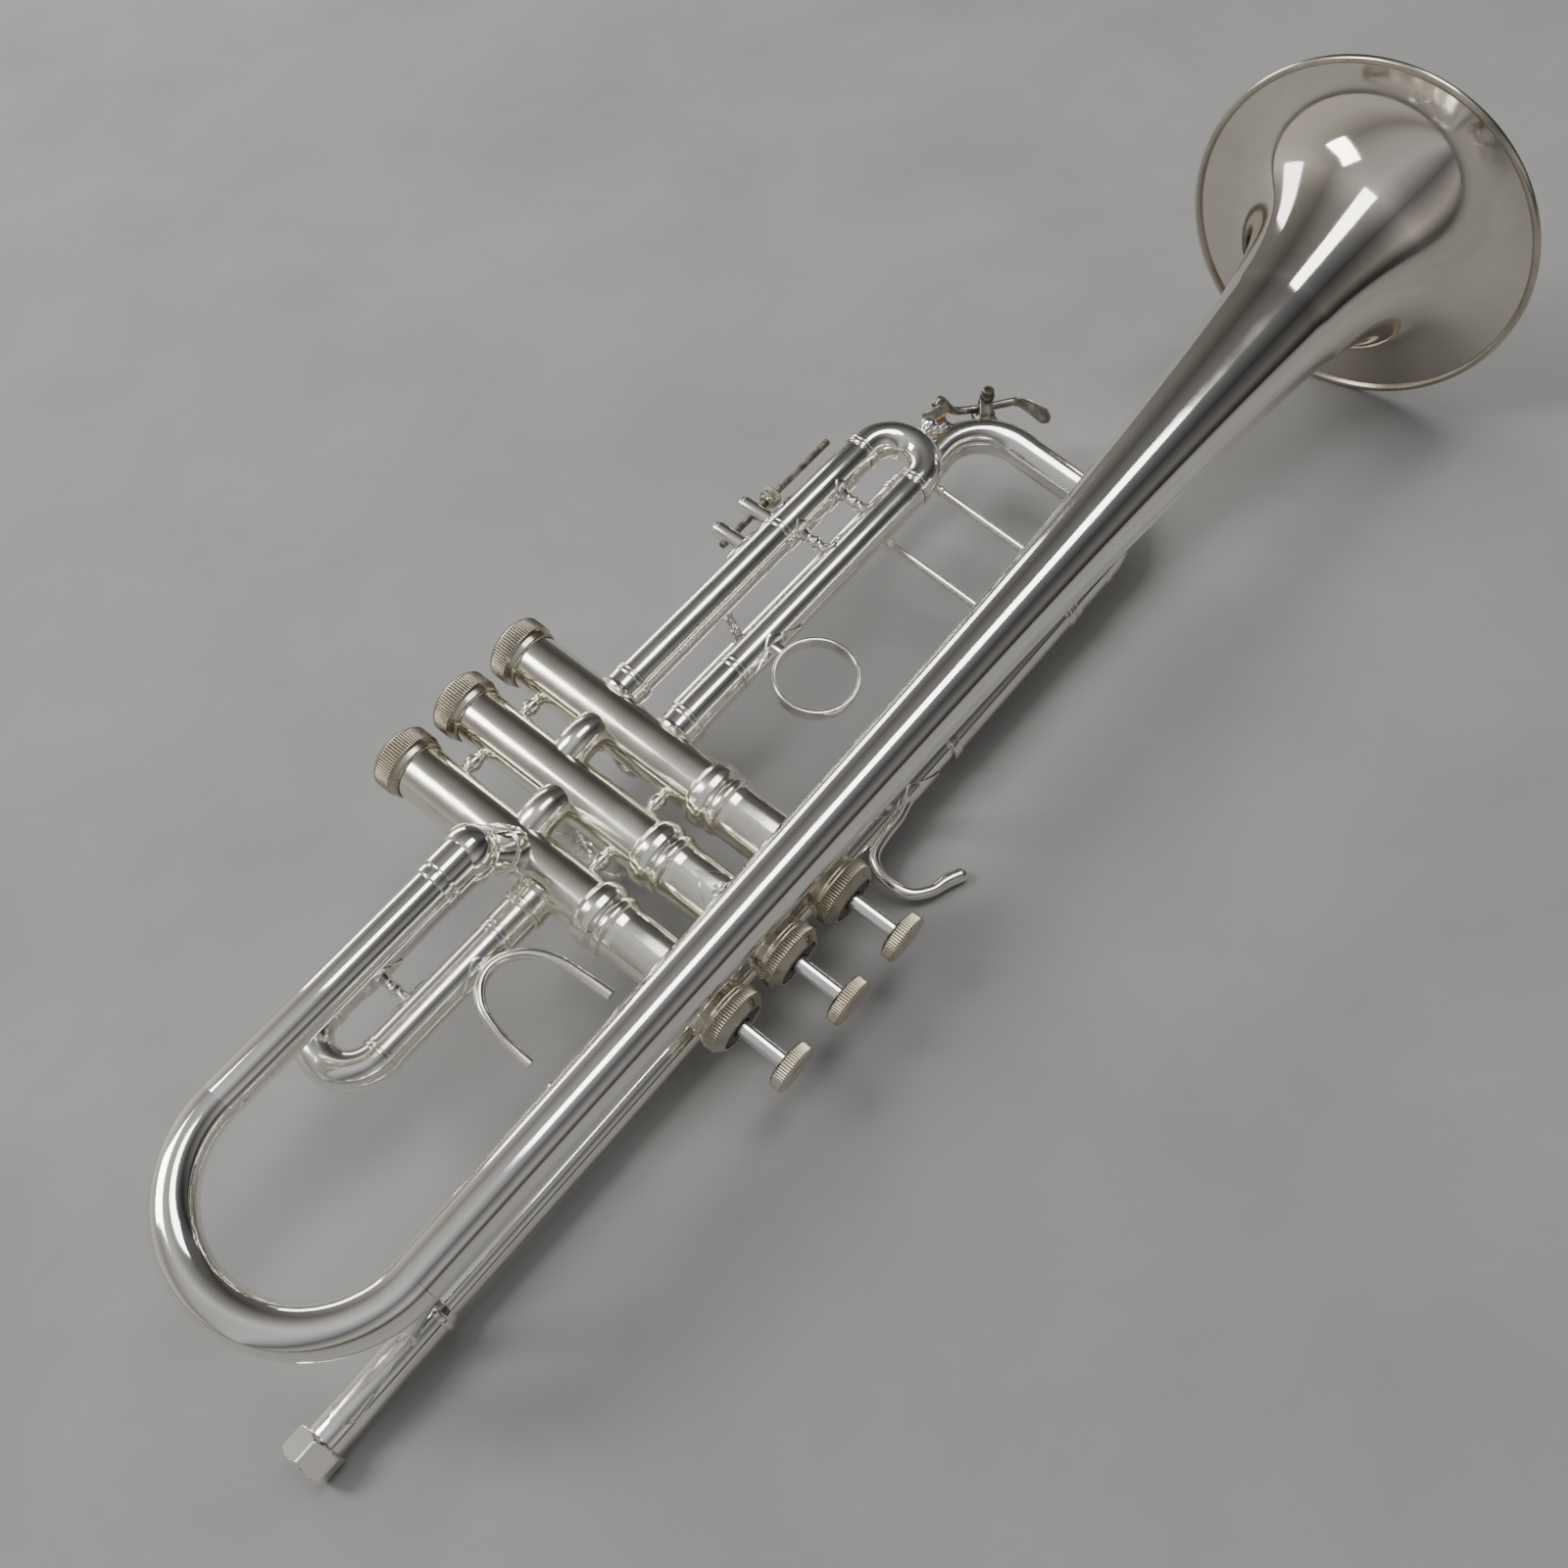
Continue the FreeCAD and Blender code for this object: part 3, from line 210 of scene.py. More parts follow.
def sweep(path, radius, inner=None, steps=48, up=None, flat=None):
    """Round bar or tube along a path; flat scales the section along `up`."""
    path = np.asarray(path, float)
    radius = np.broadcast_to(np.asarray(radius, float), len(path))
    tangent = np.gradient(path, axis=0)
    tangent /= np.linalg.norm(tangent, axis=1)[:, None]
    side = side_vectors(tangent[0])[0]
    if up is not None:
        side = unit(np.cross(tangent[0], up))
    turn = np.arange(steps) * TAU / steps
    flat = np.ones(len(path)) if flat is None else np.asarray(flat, float)
    frames = []
    for t in tangent:
        side = unit(side - t * np.dot(side, t))
        frames.append((side.copy(), np.cross(t, side)))

    def ring(i, r):
        a, b = frames[i]
        return (path[i] + np.cos(turn)[:, None] * a * r
                + np.sin(turn)[:, None] * b * r * flat[i])

    rows = [ring(i, radius[i]) for i in range(len(path))]
    if inner is None:
        rows = [ring(0, EDGE)] + rows + [ring(len(path) - 1, EDGE)]
        return grid(np.array(rows))
    inner = np.broadcast_to(np.asarray(inner, float), len(path))
    rows += [ring(i, inner[i]) for i in reversed(range(len(path)))]
    return grid(np.array(rows), wrap_rows=True)


def straight(start, end, outer, inner=None, ease=0.2, steps=64):
    """Straight tube or rod with eased edges."""
    length = np.linalg.norm(np.subtract(end, start))
    hole = 0.0 if inner is None else inner
    profile = [(0, hole), (0, outer), (length, outer), (length, hole)]
    return lathe(profile, start, np.subtract(end, start), ease, True, steps)


def arc(centre, start, normal, degrees, count=32):
    """Points of an arc that starts at `start` and turns about `normal`."""
    spoke = np.subtract(start, centre)
    turned = np.cross(unit(normal), spoke)
    angles = np.linspace(0, math.radians(degrees), count)
    return [np.asarray(centre) + math.cos(a) * spoke + math.sin(a) * turned for a in angles]


def bend_path(points, bend, count=20):
    """A polyline whose corners are rounded by `bend`."""
    points = [np.asarray(p, float) for p in points]
    result = [points[0]]
    for before, corner, after in zip(points, points[1:], points[2:]):
        come = unit(corner - before)
        go = unit(after - corner)
        angle = math.acos(float(np.clip(np.dot(come, go), -1, 1)))
        setback = bend * math.tan(angle / 2)
        entry = corner - come * setback
        normal = unit(np.cross(come, go))
        centre = entry + np.cross(normal, come) * bend
        result += arc(centre, entry, normal, math.degrees(angle), count)
    result.append(points[-1])
    return spaced(result)


def spaced(points, gap=0.02):
    """Drops points that repeat the one before."""
    kept = [points[0]]
    for point in points[1:]:
        if np.linalg.norm(point - kept[-1]) > gap:
            kept.append(point)
    return kept


def u_path(centre, radius, outward, across, leg):
    start = centre - across * radius
    normal = np.cross(outward, across)
    bend = arc(centre, start, normal, 180, 40)
    return spaced([start - outward * leg] + bend + [bend[-1] - outward * leg])


def curve(points, per_span=10):
    """Catmull-Rom curve through the points."""
    points = [np.asarray(p, float) for p in points]
    points = [2 * points[0] - points[1]] + points + [2 * points[-1] - points[-2]]
    result = []
    for i in range(1, len(points) - 2):
        a, b, c, d = points[i - 1:i + 3]
        for k in range(per_span):
            t = k / per_span
            result.append(0.5 * (2 * b + (c - a) * t + (2 * a - 5 * b + 4 * c - d) * t * t
                                 + (3 * b - a - 3 * c + d) * t ** 3))
    result.append(points[-2])
    return result


def leaf(centre, normal, long_axis, half_long, half_short, tube_r, thick=0.7, curl=1.25,
         widest=0.0):
    """Pointed flange wrapped on a tube; centre lies on the tube's axis line.

    curl above 1 gives the sides their hollow, pointed sweep; widest moves the
    wide corners along the flange, from -1 to 1."""
    long_axis = unit(long_axis)
    normal = unit(normal - long_axis * np.dot(normal, long_axis))
    across = np.cross(long_axis, normal)

    def taper(s):
        return (1 - s) / (1 - widest) if s > widest else (1 + s) / (1 + widest)

    along = np.linspace(-0.985, 0.985, 41)
    edge = np.array([-1, -0.99, -0.93, -0.6, -0.3, 0, 0.3, 0.6, 0.93, 0.99, 1])

    def sheet(radii):
        rows = []
        for s in along:
            angles = edge * half_short * taper(s) ** curl / tube_r
            rows.append(centre + long_axis * s * half_long
                        + np.cos(angles)[:, None] * normal * radii[:, None]
                        + np.sin(angles)[:, None] * across * radii[:, None])
        return grid(np.array(rows), wrap_columns=False)

    lift = np.array([-0.3, 0.8, 1, 1, 1, 1, 1, 1, 1, 0.8, -0.3]) * thick
    upper, faces = sheet(tube_r + lift)
    lower, lower_faces = sheet(np.full(len(edge), tube_r - 0.3 * thick))
    shift = len(upper)
    faces = faces + [tuple(shift + k for k in reversed(face)) for face in lower_faces]
    for j in range(len(edge) - 1):
        faces.append((j + 1, j, shift + j, shift + j + 1))
        last = (len(along) - 1) * len(edge) + j
        faces.append((last, last + 1, shift + last + 1, shift + last))
    return np.vstack([upper, lower]), faces


def ball(centre, radius, steps=48):
    """Sphere as a turned half circle."""
    angles = np.linspace(0, math.pi, 25)
    profile = [(-math.cos(a) * radius, max(math.sin(a) * radius, EDGE)) for a in angles]
    return lathe(profile, centre, Y, soft=0, closed=False, steps=steps)


def band(start, axis, length, inner, outer, soft=0.3):
    """Ferrule ring."""
    ease = min(0.35 * (outer - inner), 0.3 * length)
    profile = [(0, inner), (0, outer - ease), (ease, outer), (length - ease, outer),
               (length, outer - ease), (length, inner)]
    return lathe(profile, start, axis, soft)


def knurl(teeth, depth, low, high):
    """Relief of straight ribs round a turned edge, between two heights."""
    def relief(along, turn, radius):
        inside = 1.0 if low <= along <= high else 0.0
        wave = np.abs(np.sin(turn * teeth / 2)) ** 0.7
        return -depth * inside * (1 - wave)
    return relief


# ---- materials ---------------------------------------------------------------
class Nodes:
    """Short-hand for wiring a material's nodes."""

    def __init__(self, name):
        self.material = bpy.data.materials.new(name)
        self.material.use_nodes = True
        self.tree = self.material.node_tree
        self.shader = self.tree.nodes["Principled BSDF"]
        self.place = self.tree.nodes.new("ShaderNodeTexCoord").outputs["Object"]

    def add(self, kind):
        return self.tree.nodes.new("ShaderNode" + kind)

    def feed(self, value, socket):
        if isinstance(value, bpy.types.NodeSocket):
            self.tree.links.new(value, socket)
        else:
            socket.default_value = value

    def stretched(self, scale):
        node = self.add("Mapping")
        self.feed(self.place, node.inputs["Vector"])
        node.inputs["Scale"].default_value = scale
        return node.outputs["Vector"]

    def noise(self, scale, detail=3.0, roughness=0.55, place=None, distortion=0.0):
        node = self.add("TexNoise")
        self.feed(self.place if place is None else place, node.inputs["Vector"])
        for key, value in (("Scale", scale), ("Detail", detail),
                           ("Roughness", roughness), ("Distortion", distortion)):
            node.inputs[key].default_value = value
        return node.outputs["Fac"]

    def ramp(self, value, low, high, out_low=0.0, out_high=1.0):
        node = self.add("MapRange")
        node.clamp = True
        for key, number in (("From Min", low), ("From Max", high),
                            ("To Min", out_low), ("To Max", out_high)):
            node.inputs[key].default_value = number
        self.feed(value, node.inputs["Value"])
        return node.outputs["Result"]

    def math(self, operation, a, b):
        node = self.add("Math")
        node.operation = operation
        self.feed(a, node.inputs[0])
        self.feed(b, node.inputs[1])
        return node.outputs[0]

    def mix(self, factor, a, b):
        node = self.add("Mix")
        node.data_type = "RGBA"
        self.feed(factor, node.inputs["Factor"])
        self.feed(a, node.inputs[6])
        self.feed(b, node.inputs[7])
        return node.outputs[2]

    def hollows(self):
        """1 in the grooves of turned and knurled edges, 0 on flats and ridges."""
        node = self.add("NewGeometry")
        return self.ramp(node.outputs["Pointiness"], 0.47, 0.495, 1.0, 0.0)

    def bump(self, height, distance, strength=1.0, before=None):
        node = self.add("Bump")
        node.inputs["Distance"].default_value = distance
        node.inputs["Strength"].default_value = strength
        self.feed(height, node.inputs["Height"])
        if before is not None:
            self.feed(before, node.inputs["Normal"])
        return node.outputs["Normal"]


def rgb(r, g, b):
    return (r, g, b, 1.0)


def silver(name, clean, tarnished, rough, tarnish, wave=0.000006, grain=None, far=None):
    """Silver plate: smudges, yellow-brown tarnish in corners, fine wear lines.

    far is the colour, darker and warmer, that the plate turns to towards the bell's mouth."""
    n = Nodes(name)
    cloud = n.noise(38, 5, 0.6, distortion=0.6)
    fine = n.noise(420, 4, 0.6)
    corner = n.hollows()
    patch = n.ramp(cloud, 0.66 - 0.3 * tarnish, 0.86 - 0.2 * tarnish)
    mask = n.math("MAXIMUM", n.math("MULTIPLY", patch, 0.75 * tarnish + 0.1),
                  n.math("MULTIPLY", corner, 0.55 + 0.4 * tarnish))
    mask = n.math("MULTIPLY", mask, n.ramp(fine, 0.2, 0.75, 0.55, 1.0))
    tint = n.mix(n.ramp(n.noise(90, 3), 0.35, 0.7), rgb(*clean),
                 rgb(*(c * w for c, w in zip(clean, (0.97, 0.955, 0.92)))))
    if far:
        split = n.add("SeparateXYZ")
        n.feed(n.place, split.inputs[0])
        tint = n.mix(n.ramp(split.outputs["X"], *FADE_X), tint, rgb(*far))
    n.feed(n.mix(mask, tint, rgb(*tarnished)), n.shader.inputs["Base Color"])
    n.shader.inputs["Metallic"].default_value = 1.0
    haze = n.ramp(n.noise(70, 4, 0.6), 0.35, 0.75, 0.0, rough * 1.1)
    base = n.math("ADD", haze, rough)
    n.feed(n.math("ADD", base, n.math("MULTIPLY", mask, 0.16)),
           n.shader.inputs["Roughness"])
    stretched = n.stretched(grain or (0.25, 1, 1))
    lines = n.noise(700, 2, 0.6, stretched)
    normal = n.bump(n.noise(55, 2), wave, 1.0)
    normal = n.bump(lines, 0.0000012, 1.0, normal)
    n.feed(normal, n.shader.inputs["Normal"])
    return n.material


def dark_metal(name, colour, bright, rough):
    """Oxidised fittings with brighter worn patches."""
    n = Nodes(name)
    worn = n.ramp(n.noise(260, 5, 0.65, distortion=0.4), 0.42, 0.7)
    n.feed(n.mix(worn, rgb(*colour), rgb(*bright)), n.shader.inputs["Base Color"])
    n.shader.inputs["Metallic"].default_value = 1.0
    n.feed(n.ramp(worn, 0, 1, rough + 0.12, rough - 0.08), n.shader.inputs["Roughness"])
    n.feed(n.bump(n.noise(900, 4), 0.00001, 1.0), n.shader.inputs["Normal"])
    return n.material


def cork_material():
    n = Nodes("cork")
    cells = n.add("TexVoronoi")
    n.feed(n.place, cells.inputs["Vector"])
    cells.inputs["Scale"].default_value = 900
    spots = n.ramp(cells.outputs["Distance"], 0.25, 0.7)
    colour = n.mix(spots, rgb(0.42, 0.22, 0.10), rgb(0.72, 0.44, 0.22))
    colour = n.mix(n.ramp(n.noise(500, 4), 0.4, 0.7), colour, rgb(0.80, 0.52, 0.28))
    n.feed(colour, n.shader.inputs["Base Color"])
    n.shader.inputs["Roughness"].default_value = 0.75
    n.feed(n.bump(n.math("ADD", spots, n.noise(1500, 4)), 0.00012), n.shader.inputs["Normal"])
    return n.material


def felt_material():
    n = Nodes("felt")
    fibres = n.noise(2600, 6, 0.75, distortion=1.5)
    colour = n.mix(n.ramp(fibres, 0.35, 0.7), rgb(0.008, 0.007, 0.007),
                   rgb(0.045, 0.04, 0.038))
    n.feed(colour, n.shader.inputs["Base Color"])
    n.shader.inputs["Roughness"].default_value = 0.95
    n.shader.inputs["Sheen Weight"].default_value = 0.4
    n.shader.inputs["Sheen Roughness"].default_value = 0.5
    n.feed(n.bump(fibres, 0.00015), n.shader.inputs["Normal"])
    return n.material


FADE_X = (0.12, 0.235)    # metres ahead of the model's middle
BRIGHT = (0.93, 0.915, 0.87)
SATIN = (0.90, 0.88, 0.80)
TARNISH = (0.56, 0.43, 0.26)
MATERIALS = {
    "mirror": silver("mirror_silver", BRIGHT, TARNISH, 0.045, 0.15),
    "tube": silver("tube_silver", (0.90, 0.885, 0.84), TARNISH, 0.1, 0.35),
    "casing": silver("casing_silver", SATIN, (0.50, 0.42, 0.28), 0.11, 0.5,
                     grain=(1, 1, 0.2)),
    "cap": silver("cap_silver", (0.53, 0.495, 0.42), (0.24, 0.19, 0.12), 0.17, 0.7),
    "button": silver("button_silver", (0.66, 0.61, 0.51), (0.34, 0.26, 0.15), 0.17, 0.6),
    "flare": silver("flare_silver", BRIGHT, (0.46, 0.37, 0.26), 0.05, 0.25,
                    far=(0.72, 0.67, 0.60)),
    "rim": silver("rim_silver", (0.60, 0.55, 0.48), (0.25, 0.20, 0.15), 0.12, 0.6),
    "stem": silver("stem_silver", (0.93, 0.92, 0.91), (0.6, 0.55, 0.5), 0.10, 0.05),
    "dark": dark_metal("oxidised_metal", (0.11, 0.095, 0.075), (0.38, 0.35, 0.29), 0.34),
    "leaf": dark_metal("worn_key_metal", (0.25, 0.23, 0.2), (0.55, 0.52, 0.47), 0.26),
    "cork": cork_material(),
    "felt": felt_material(),
}
SLOTS = {look: "silver_plate" for look in MATERIALS}
SLOTS.update({"cap": "cap_nickel", "button": "cap_nickel", "dark": "dark_nickel",
              "leaf": "dark_nickel", "cork": "cork", "felt": "felt"})


def piece(name, parts, look, body, *nodes, slot=None):
    """One visible piece from several mesh parts."""
    vertices = []
    faces = []
    for points, part_faces in parts:
        shift = len(vertices)
        vertices += [tuple(p) for p in to_row(points)]
        faces += [tuple(shift + k for k in face) for face in part_faces]
    mesh = bpy.data.meshes.new(name)
    mesh.from_pydata(vertices, [], faces)
    mesh.validate()
    obj = bpy.data.objects.new(name, mesh)
    bpy.context.scene.collection.objects.link(obj)
    edit = bmesh.new()
    edit.from_mesh(mesh)
    bmesh.ops.remove_doubles(edit, verts=edit.verts, dist=2e-6)
    bmesh.ops.recalc_face_normals(edit, faces=edit.faces)
    edit.to_mesh(mesh)
    edit.free()
    mesh.polygons.foreach_set("use_smooth", [True] * len(mesh.polygons))
    mesh.set_sharp_from_angle(angle=math.radians(38))
    mesh.materials.append(MATERIALS[look])
    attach(obj, body)
    if nodes:
        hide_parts(*nodes)
    return obj


# ---- valves --------------------------------------------------------------------
def build_valve(n):
    x = VALVE_X[n]
    axis = P(x, 0, 0)
    profile = [(-92, BORE_R), (-92, CASING_R), (-15.2, CASING_R), (-14.6, 9.9),
               (-13.4, 10.6), (-11, 10.9), (-8.8, 10.6), (-7.6, 9.8), (-7, 9.5),
               (-6.4, 10.1), (-5.2, 10.3), (-4.2, 10.1), (-3.6, 9.4), (-1, CASING_R),
               (36.5, CASING_R), (36.5, BORE_R)]
    piece("casing_%d" % n, [lathe(profile, axis, Z, 0.35, steps=96)], "casing", "body",
          "valve_casing_%d" % n)
    thread_r = CASING_R + 0.1
    bottom = [(-94.99, EDGE), (-94.99, 3), (-94.4, 4.5), (-94.4, 9.2), (-93.4, 10.3),
              (-92.6, CAP_R), (-87.2, CAP_R), (-86.4, 10.3), (-84.6, 10), (-84, thread_r),
              (-92.1, thread_r), (-92.1, EDGE)]
    piece("bottom_cap_%d_turned" % n,
          [lathe(bottom, axis, Z, 0.3, steps=576, relief=knurl(72, 0.4, -92.5, -87.3))],
          "cap", "bottom_cap_body_%d" % n, "bottom_cap_%d" % n)
    top = [(32.2, thread_r), (32.5, 9.7), (35, 9.7), (35.3, 10.2), (36.3, 10.3),
           (36.7, CAP_R), (40.1, CAP_R), (40.5, 10.5), (42.6, 8.2), (42.6, 7.5),
           (41, 7.4), (41, 3.2), (38.6, 3.2), (38.6, 6.6), (36.6, 6.6), (36.6, thread_r)]
    piece("top_cap_%d_turned" % n,
          [lathe(top, axis, Z, 0.25, steps=576, relief=knurl(72, 0.4, 36.75, 40.05))],
          "cap", "top_cap_body_%d" % n, "top_cap_%d" % n)
    felt = [(41, 3.3), (41, 7.2), (42.2, 7.2), (42.2, 3.3)]
    piece("felt_disc_%d" % n, [lathe(felt, axis, Z, 0.35)], "felt",
          "top_cap_body_%d" % n, "top_felt_%d" % n)
    stem = [(-22.9, EDGE), (-22.9, 4.6), (12, 4.6), (13, 2.5), (57.3, 2.5), (57.3, EDGE)]
    piece("stem_%d" % n, [lathe(stem, axis, Z, 0.2, steps=48)], "stem",
          "valve_%d" % n, "valve_stem_%d" % n)
    button = [(57.3, EDGE), (57.3, 3.6), (57.8, 6.6), (58.6, 7.9), (61.8, 7.9),
              (62.4, 7.3), (62.4, 5.6), (61.9, 3), (61.7, EDGE)]
    piece("button_%d" % n,
          [lathe(button, axis, Z, 0.3, steps=448, relief=knurl(56, 0.36, 58.65, 61.75))],
          "button", "valve_%d" % n, "finger_button_%d" % n)
    build_spring(n)


def build_spring(n):
    """Coil under the piston; it rides on the valve."""
    coil = []
    for share in np.linspace(0, 1, COIL_TURNS * 28 + 1):
        angle = TAU * COIL_TURNS * share
        coil.append(P(VALVE_X[n] + COIL_R * math.cos(angle), COIL_R * math.sin(angle),
                      COIL_BOTTOM_Z + COIL_HEIGHT * share))
    spring = piece("coil_%d" % n, [sweep(coil, COIL_WIRE_R, steps=12)], "stem",
                   "valve_%d" % n, "valve_spring_%d" % n, slot="spring_steel")
    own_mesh(spring)


def foot(point, axis, tube_r, reach=2.2, spread=1.3, start=0.0):
    """Solder fillet where a tube meets a casing: a small trumpet shape."""
    rows = 8
    profile = []
    for k in range(rows + 1):
        t = k / rows
        profile.append((start + reach * t, tube_r + spread * (1 - t) ** 2.2))
    profile += [(start + reach, tube_r - 0.4), (start, tube_r - 0.4)]
    return lathe(profile, point, axis, 0, True, 64)


def build_between_casings():
    knuckles = []
    reach = 7.6
    peak_y = 4.4
    drop = 4.1
    along = np.linspace(-1, 1, 41)
    flared = MOVING_R + 0.9 * np.abs(along) ** 5
    for x, z in ((-SPACING / 2, -44.5), (SPACING / 2, -52.5)):
        bow = [P(x + reach * t, peak_y - drop * t * t, z) for t in along]
        knuckles.append(sweep(bow, flared, flared - WALL, steps=64))
    piece("crossovers", knuckles, "casing", "body", "crossover_knuckles")
    posts = []
    half = [(-4.4, EDGE), (-4.4, 3.1), (-3.7, 2.4), (-2.9, 1.9), (-2.3, 2.0), (-1.5, 2.5)]
    profile = half + [(0, 2.7)] + [(-at, r) for at, r in reversed(half)]
    for x in (-SPACING / 2, SPACING / 2):
        for z in (-74.0, -22.5):
            posts.append(lathe(profile, P(x, 0, z), X, 0.4, steps=40))
    piece("strut_posts", posts, "casing", "body", "casing_struts")


# ---- bell, bow, tail -------------------------------------------------------------
def bell_radius(x):
    if x > FLARE_X:
        horn_end = BELL_END_X + 3.0
        return BELL_TUBE[-1][1] * ((horn_end - FLARE_X) / (horn_end - x)) ** 0.384
    xs, rs = zip(*BELL_TUBE)
    return float(np.interp(x, xs, rs))


def smooth_bell():
    """Bell outline as closely spaced stations with the tube's steps smoothed."""
    xs = np.concatenate([np.arange(BOW_X, FLARE_X, 4.0), np.arange(FLARE_X, 306, 1.5),
                         np.arange(306, 316.41, 0.4)])
    rs = np.array([bell_radius(x) for x in xs])
    for _ in range(12):
        inner = (rs[:-2] + 2 * rs[1:-1] + rs[2:]) / 4
        keep = xs[1:-1] < FLARE_X + 10
        rs[1:-1] = np.where(keep, inner, rs[1:-1])
    return xs, rs


def build_bell():
    xs, rs = smooth_bell()
    outline = list(zip(xs, rs)) + list(zip(xs[::-1], rs[::-1] - WALL))
    shell = lathe(outline, P(0, BELL_Y, BELL_Z), X, 0, True, steps=224)
    piece("bell_shell", [shell], "flare", "body", "bell")
    wire_centre = BELL_END_R - RIM_WIRE_R - 0.01
    outline = []
    for k in range(20):
        a = TAU * k / 20
        outline.append((BELL_END_X - 0.61 + RIM_WIRE_R * math.cos(a),
                        wire_centre + RIM_WIRE_R * math.sin(a)))
    rim = lathe(outline, P(0, BELL_Y, BELL_Z), X, 0, True, steps=224)
    piece("rim_bead", [rim], "rim", "body", "bell_rim")


def build_bow():
    centre = P(BOW_X, BELL_Y, BELL_Z - BOW_R)
    path = arc(centre, P(BOW_X, BELL_Y, BELL_Z), -Y, 180, 72)
    radius = np.linspace(BOW_END_R, TAIL_R, len(path))
    piece("bow_tube", [sweep(path, radius, radius - WALL, steps=72)], "mirror", "body",
          "bell_bow")
    tail = straight(P(BOW_X, BELL_Y, TAIL_Z), P(TAIL_END_X, BELL_Y, TAIL_Z), TAIL_R, 5.5, 0.1)
    piece("tail_tube", [tail], "mirror", "body", "bell_tail")
    corner = P(-40.5, BELL_Y, TAIL_Z)
    target = P(-SPACING, 0, TAIL_Z)
    way = unit(target - corner)
    route = bend_path([P(TAIL_END_X, BELL_Y, TAIL_Z), corner, target - way * 5.5], 8.0)
    parts = [sweep(route, 6.9, 5.5, steps=72), ball(P(-41.6, 25.2, TAIL_Z), 8.3, 72),
             band(P(TAIL_END_X - 1, BELL_Y, TAIL_Z), -X, 3.0, TAIL_R - 0.2, 6.7),
             band(target - way * 15.5, way, 7.0, 6.7, 7.7)]
    piece("elbow_ball", parts, "mirror", "body", "tail_elbow")


# ---- leadpipe --------------------------------------------------------------------
def on_lead(x):
    return P(x, LEAD_Y, LEAD_Z)


def build_leadpipe():
    throat_x = RECEIVER_RING_X - 2.0
    path = [on_lead(x) for x in (throat_x, -60, 20, 96, LEAD_END_X)]
    pipe = sweep(path, [4.75, 5.0, 5.27, 5.5, 5.5], [4.25, 4.5, 4.77, 5.0, 5.0], steps=64)
    piece("lead_tube", [pipe], "mirror", "body", "leadpipe")
    profile = [(RECEIVER_END_X, 4.9), (RECEIVER_END_X, RECEIVER_R),
               (RECEIVER_RING_X, RECEIVER_R), (RECEIVER_RING_X, 4.85), (throat_x, 4.25),
               (RECEIVER_END_X + 6.0, 4.9)]
    tube = lathe(profile, on_lead(0), X, 0.15, True, 80)
    piece("receiver_tube", [tube], "mirror", "body", "mouthpiece_receiver")
    ring = [(0, 4.85), (0, 6.4), (0.6, 6.7), (1.8, 6.7), (2.4, 6.1), (4.2, 5.3),
            (4.6, 4.85)]
    collar = faceted_collar(on_lead(RECEIVER_END_X), 9.0)
    piece("receiver_fittings", [lathe(ring, on_lead(RECEIVER_RING_X), X, 0.2), collar],
          "mirror", "body", "receiver_rings")


def faceted_collar(start, length):
    """Ring with flats ground round its rim."""
    flats = 6
    half_across = 7.1
    flat_facing = math.radians(30)
    left_up = P(0, math.cos(flat_facing), math.sin(flat_facing))
    first, second = side_vectors(X)
    facing = math.atan2(np.dot(left_up, second), np.dot(left_up, first))

    def relief(along, turn, radius):
        if radius < 6.2:
            return 0.0
        spread = (turn - facing + math.pi / flats) % (TAU / flats) - math.pi / flats
        return np.minimum(0.0, half_across / np.cos(spread) - radius)

    profile = [(0, 6.0), (0, 6.9), (1.0, 8.0), (length - 1.0, 8.0), (length, 6.9),
               (length, 6.0)]
    return lathe(profile, start, X, 0.45, True, 360, relief)


# ---- braces -----------------------------------------------------------------------
def turned_post(start, end, bar, foot_r):
    length = float(np.linalg.norm(np.subtract(end, start)))
    middle = length / 2
    profile = [(0, EDGE), (0, foot_r), (1.2, foot_r * 0.8), (2.6, bar),
               (middle - 1.2, bar), (middle, bar * 1.45), (middle + 1.2, bar),
               (length - 2.6, bar), (length - 1.2, foot_r * 0.8), (length, foot_r),
               (length, EDGE)]
    return lathe(profile, start, np.subtract(end, start), 0.5, steps=40)


def bell_post(bell_x, lead_x, lead_r):
    bell_r = bell_radius(bell_x)
    post = turned_post(P(lead_x, LEAD_Y + lead_r - 0.5, LEAD_Z),
                       P(bell_x, BELL_Y - bell_r + 0.5, BELL_Z - 0.6), 1.8, 3.0)
    return [post, leaf(P(bell_x, BELL_Y, BELL_Z), -Y, X, 9.5, 6.5, bell_r)]


def build_bell_braces():
    parts = bell_post(*REAR_BRACE_X, RECEIVER_R)
    parts += bell_post(FRONT_BRACE_X, FRONT_BRACE_X, LEAD_R_AT_BRACE)
    parts.append(leaf(on_lead(-160.0), Y, X, 17.0, 4.8, RECEIVER_R, curl=1.1, widest=-0.62))
    parts.append(leaf(on_lead(FRONT_BRACE_X), Y, X, 9.5, 5.0, LEAD_R_AT_BRACE))
    parts.append(turned_post(P(0, CASING_R - 0.6, 13), P(0, BELL_Y - 8.4, 20.0), 1.8, 3.0))
    parts.append(leaf(P(0, 0, 12), Y, Z, 9, 7, CASING_R, thick=0.45))
    piece("bell_brace_posts", parts, "tube", "body", "bell_braces")


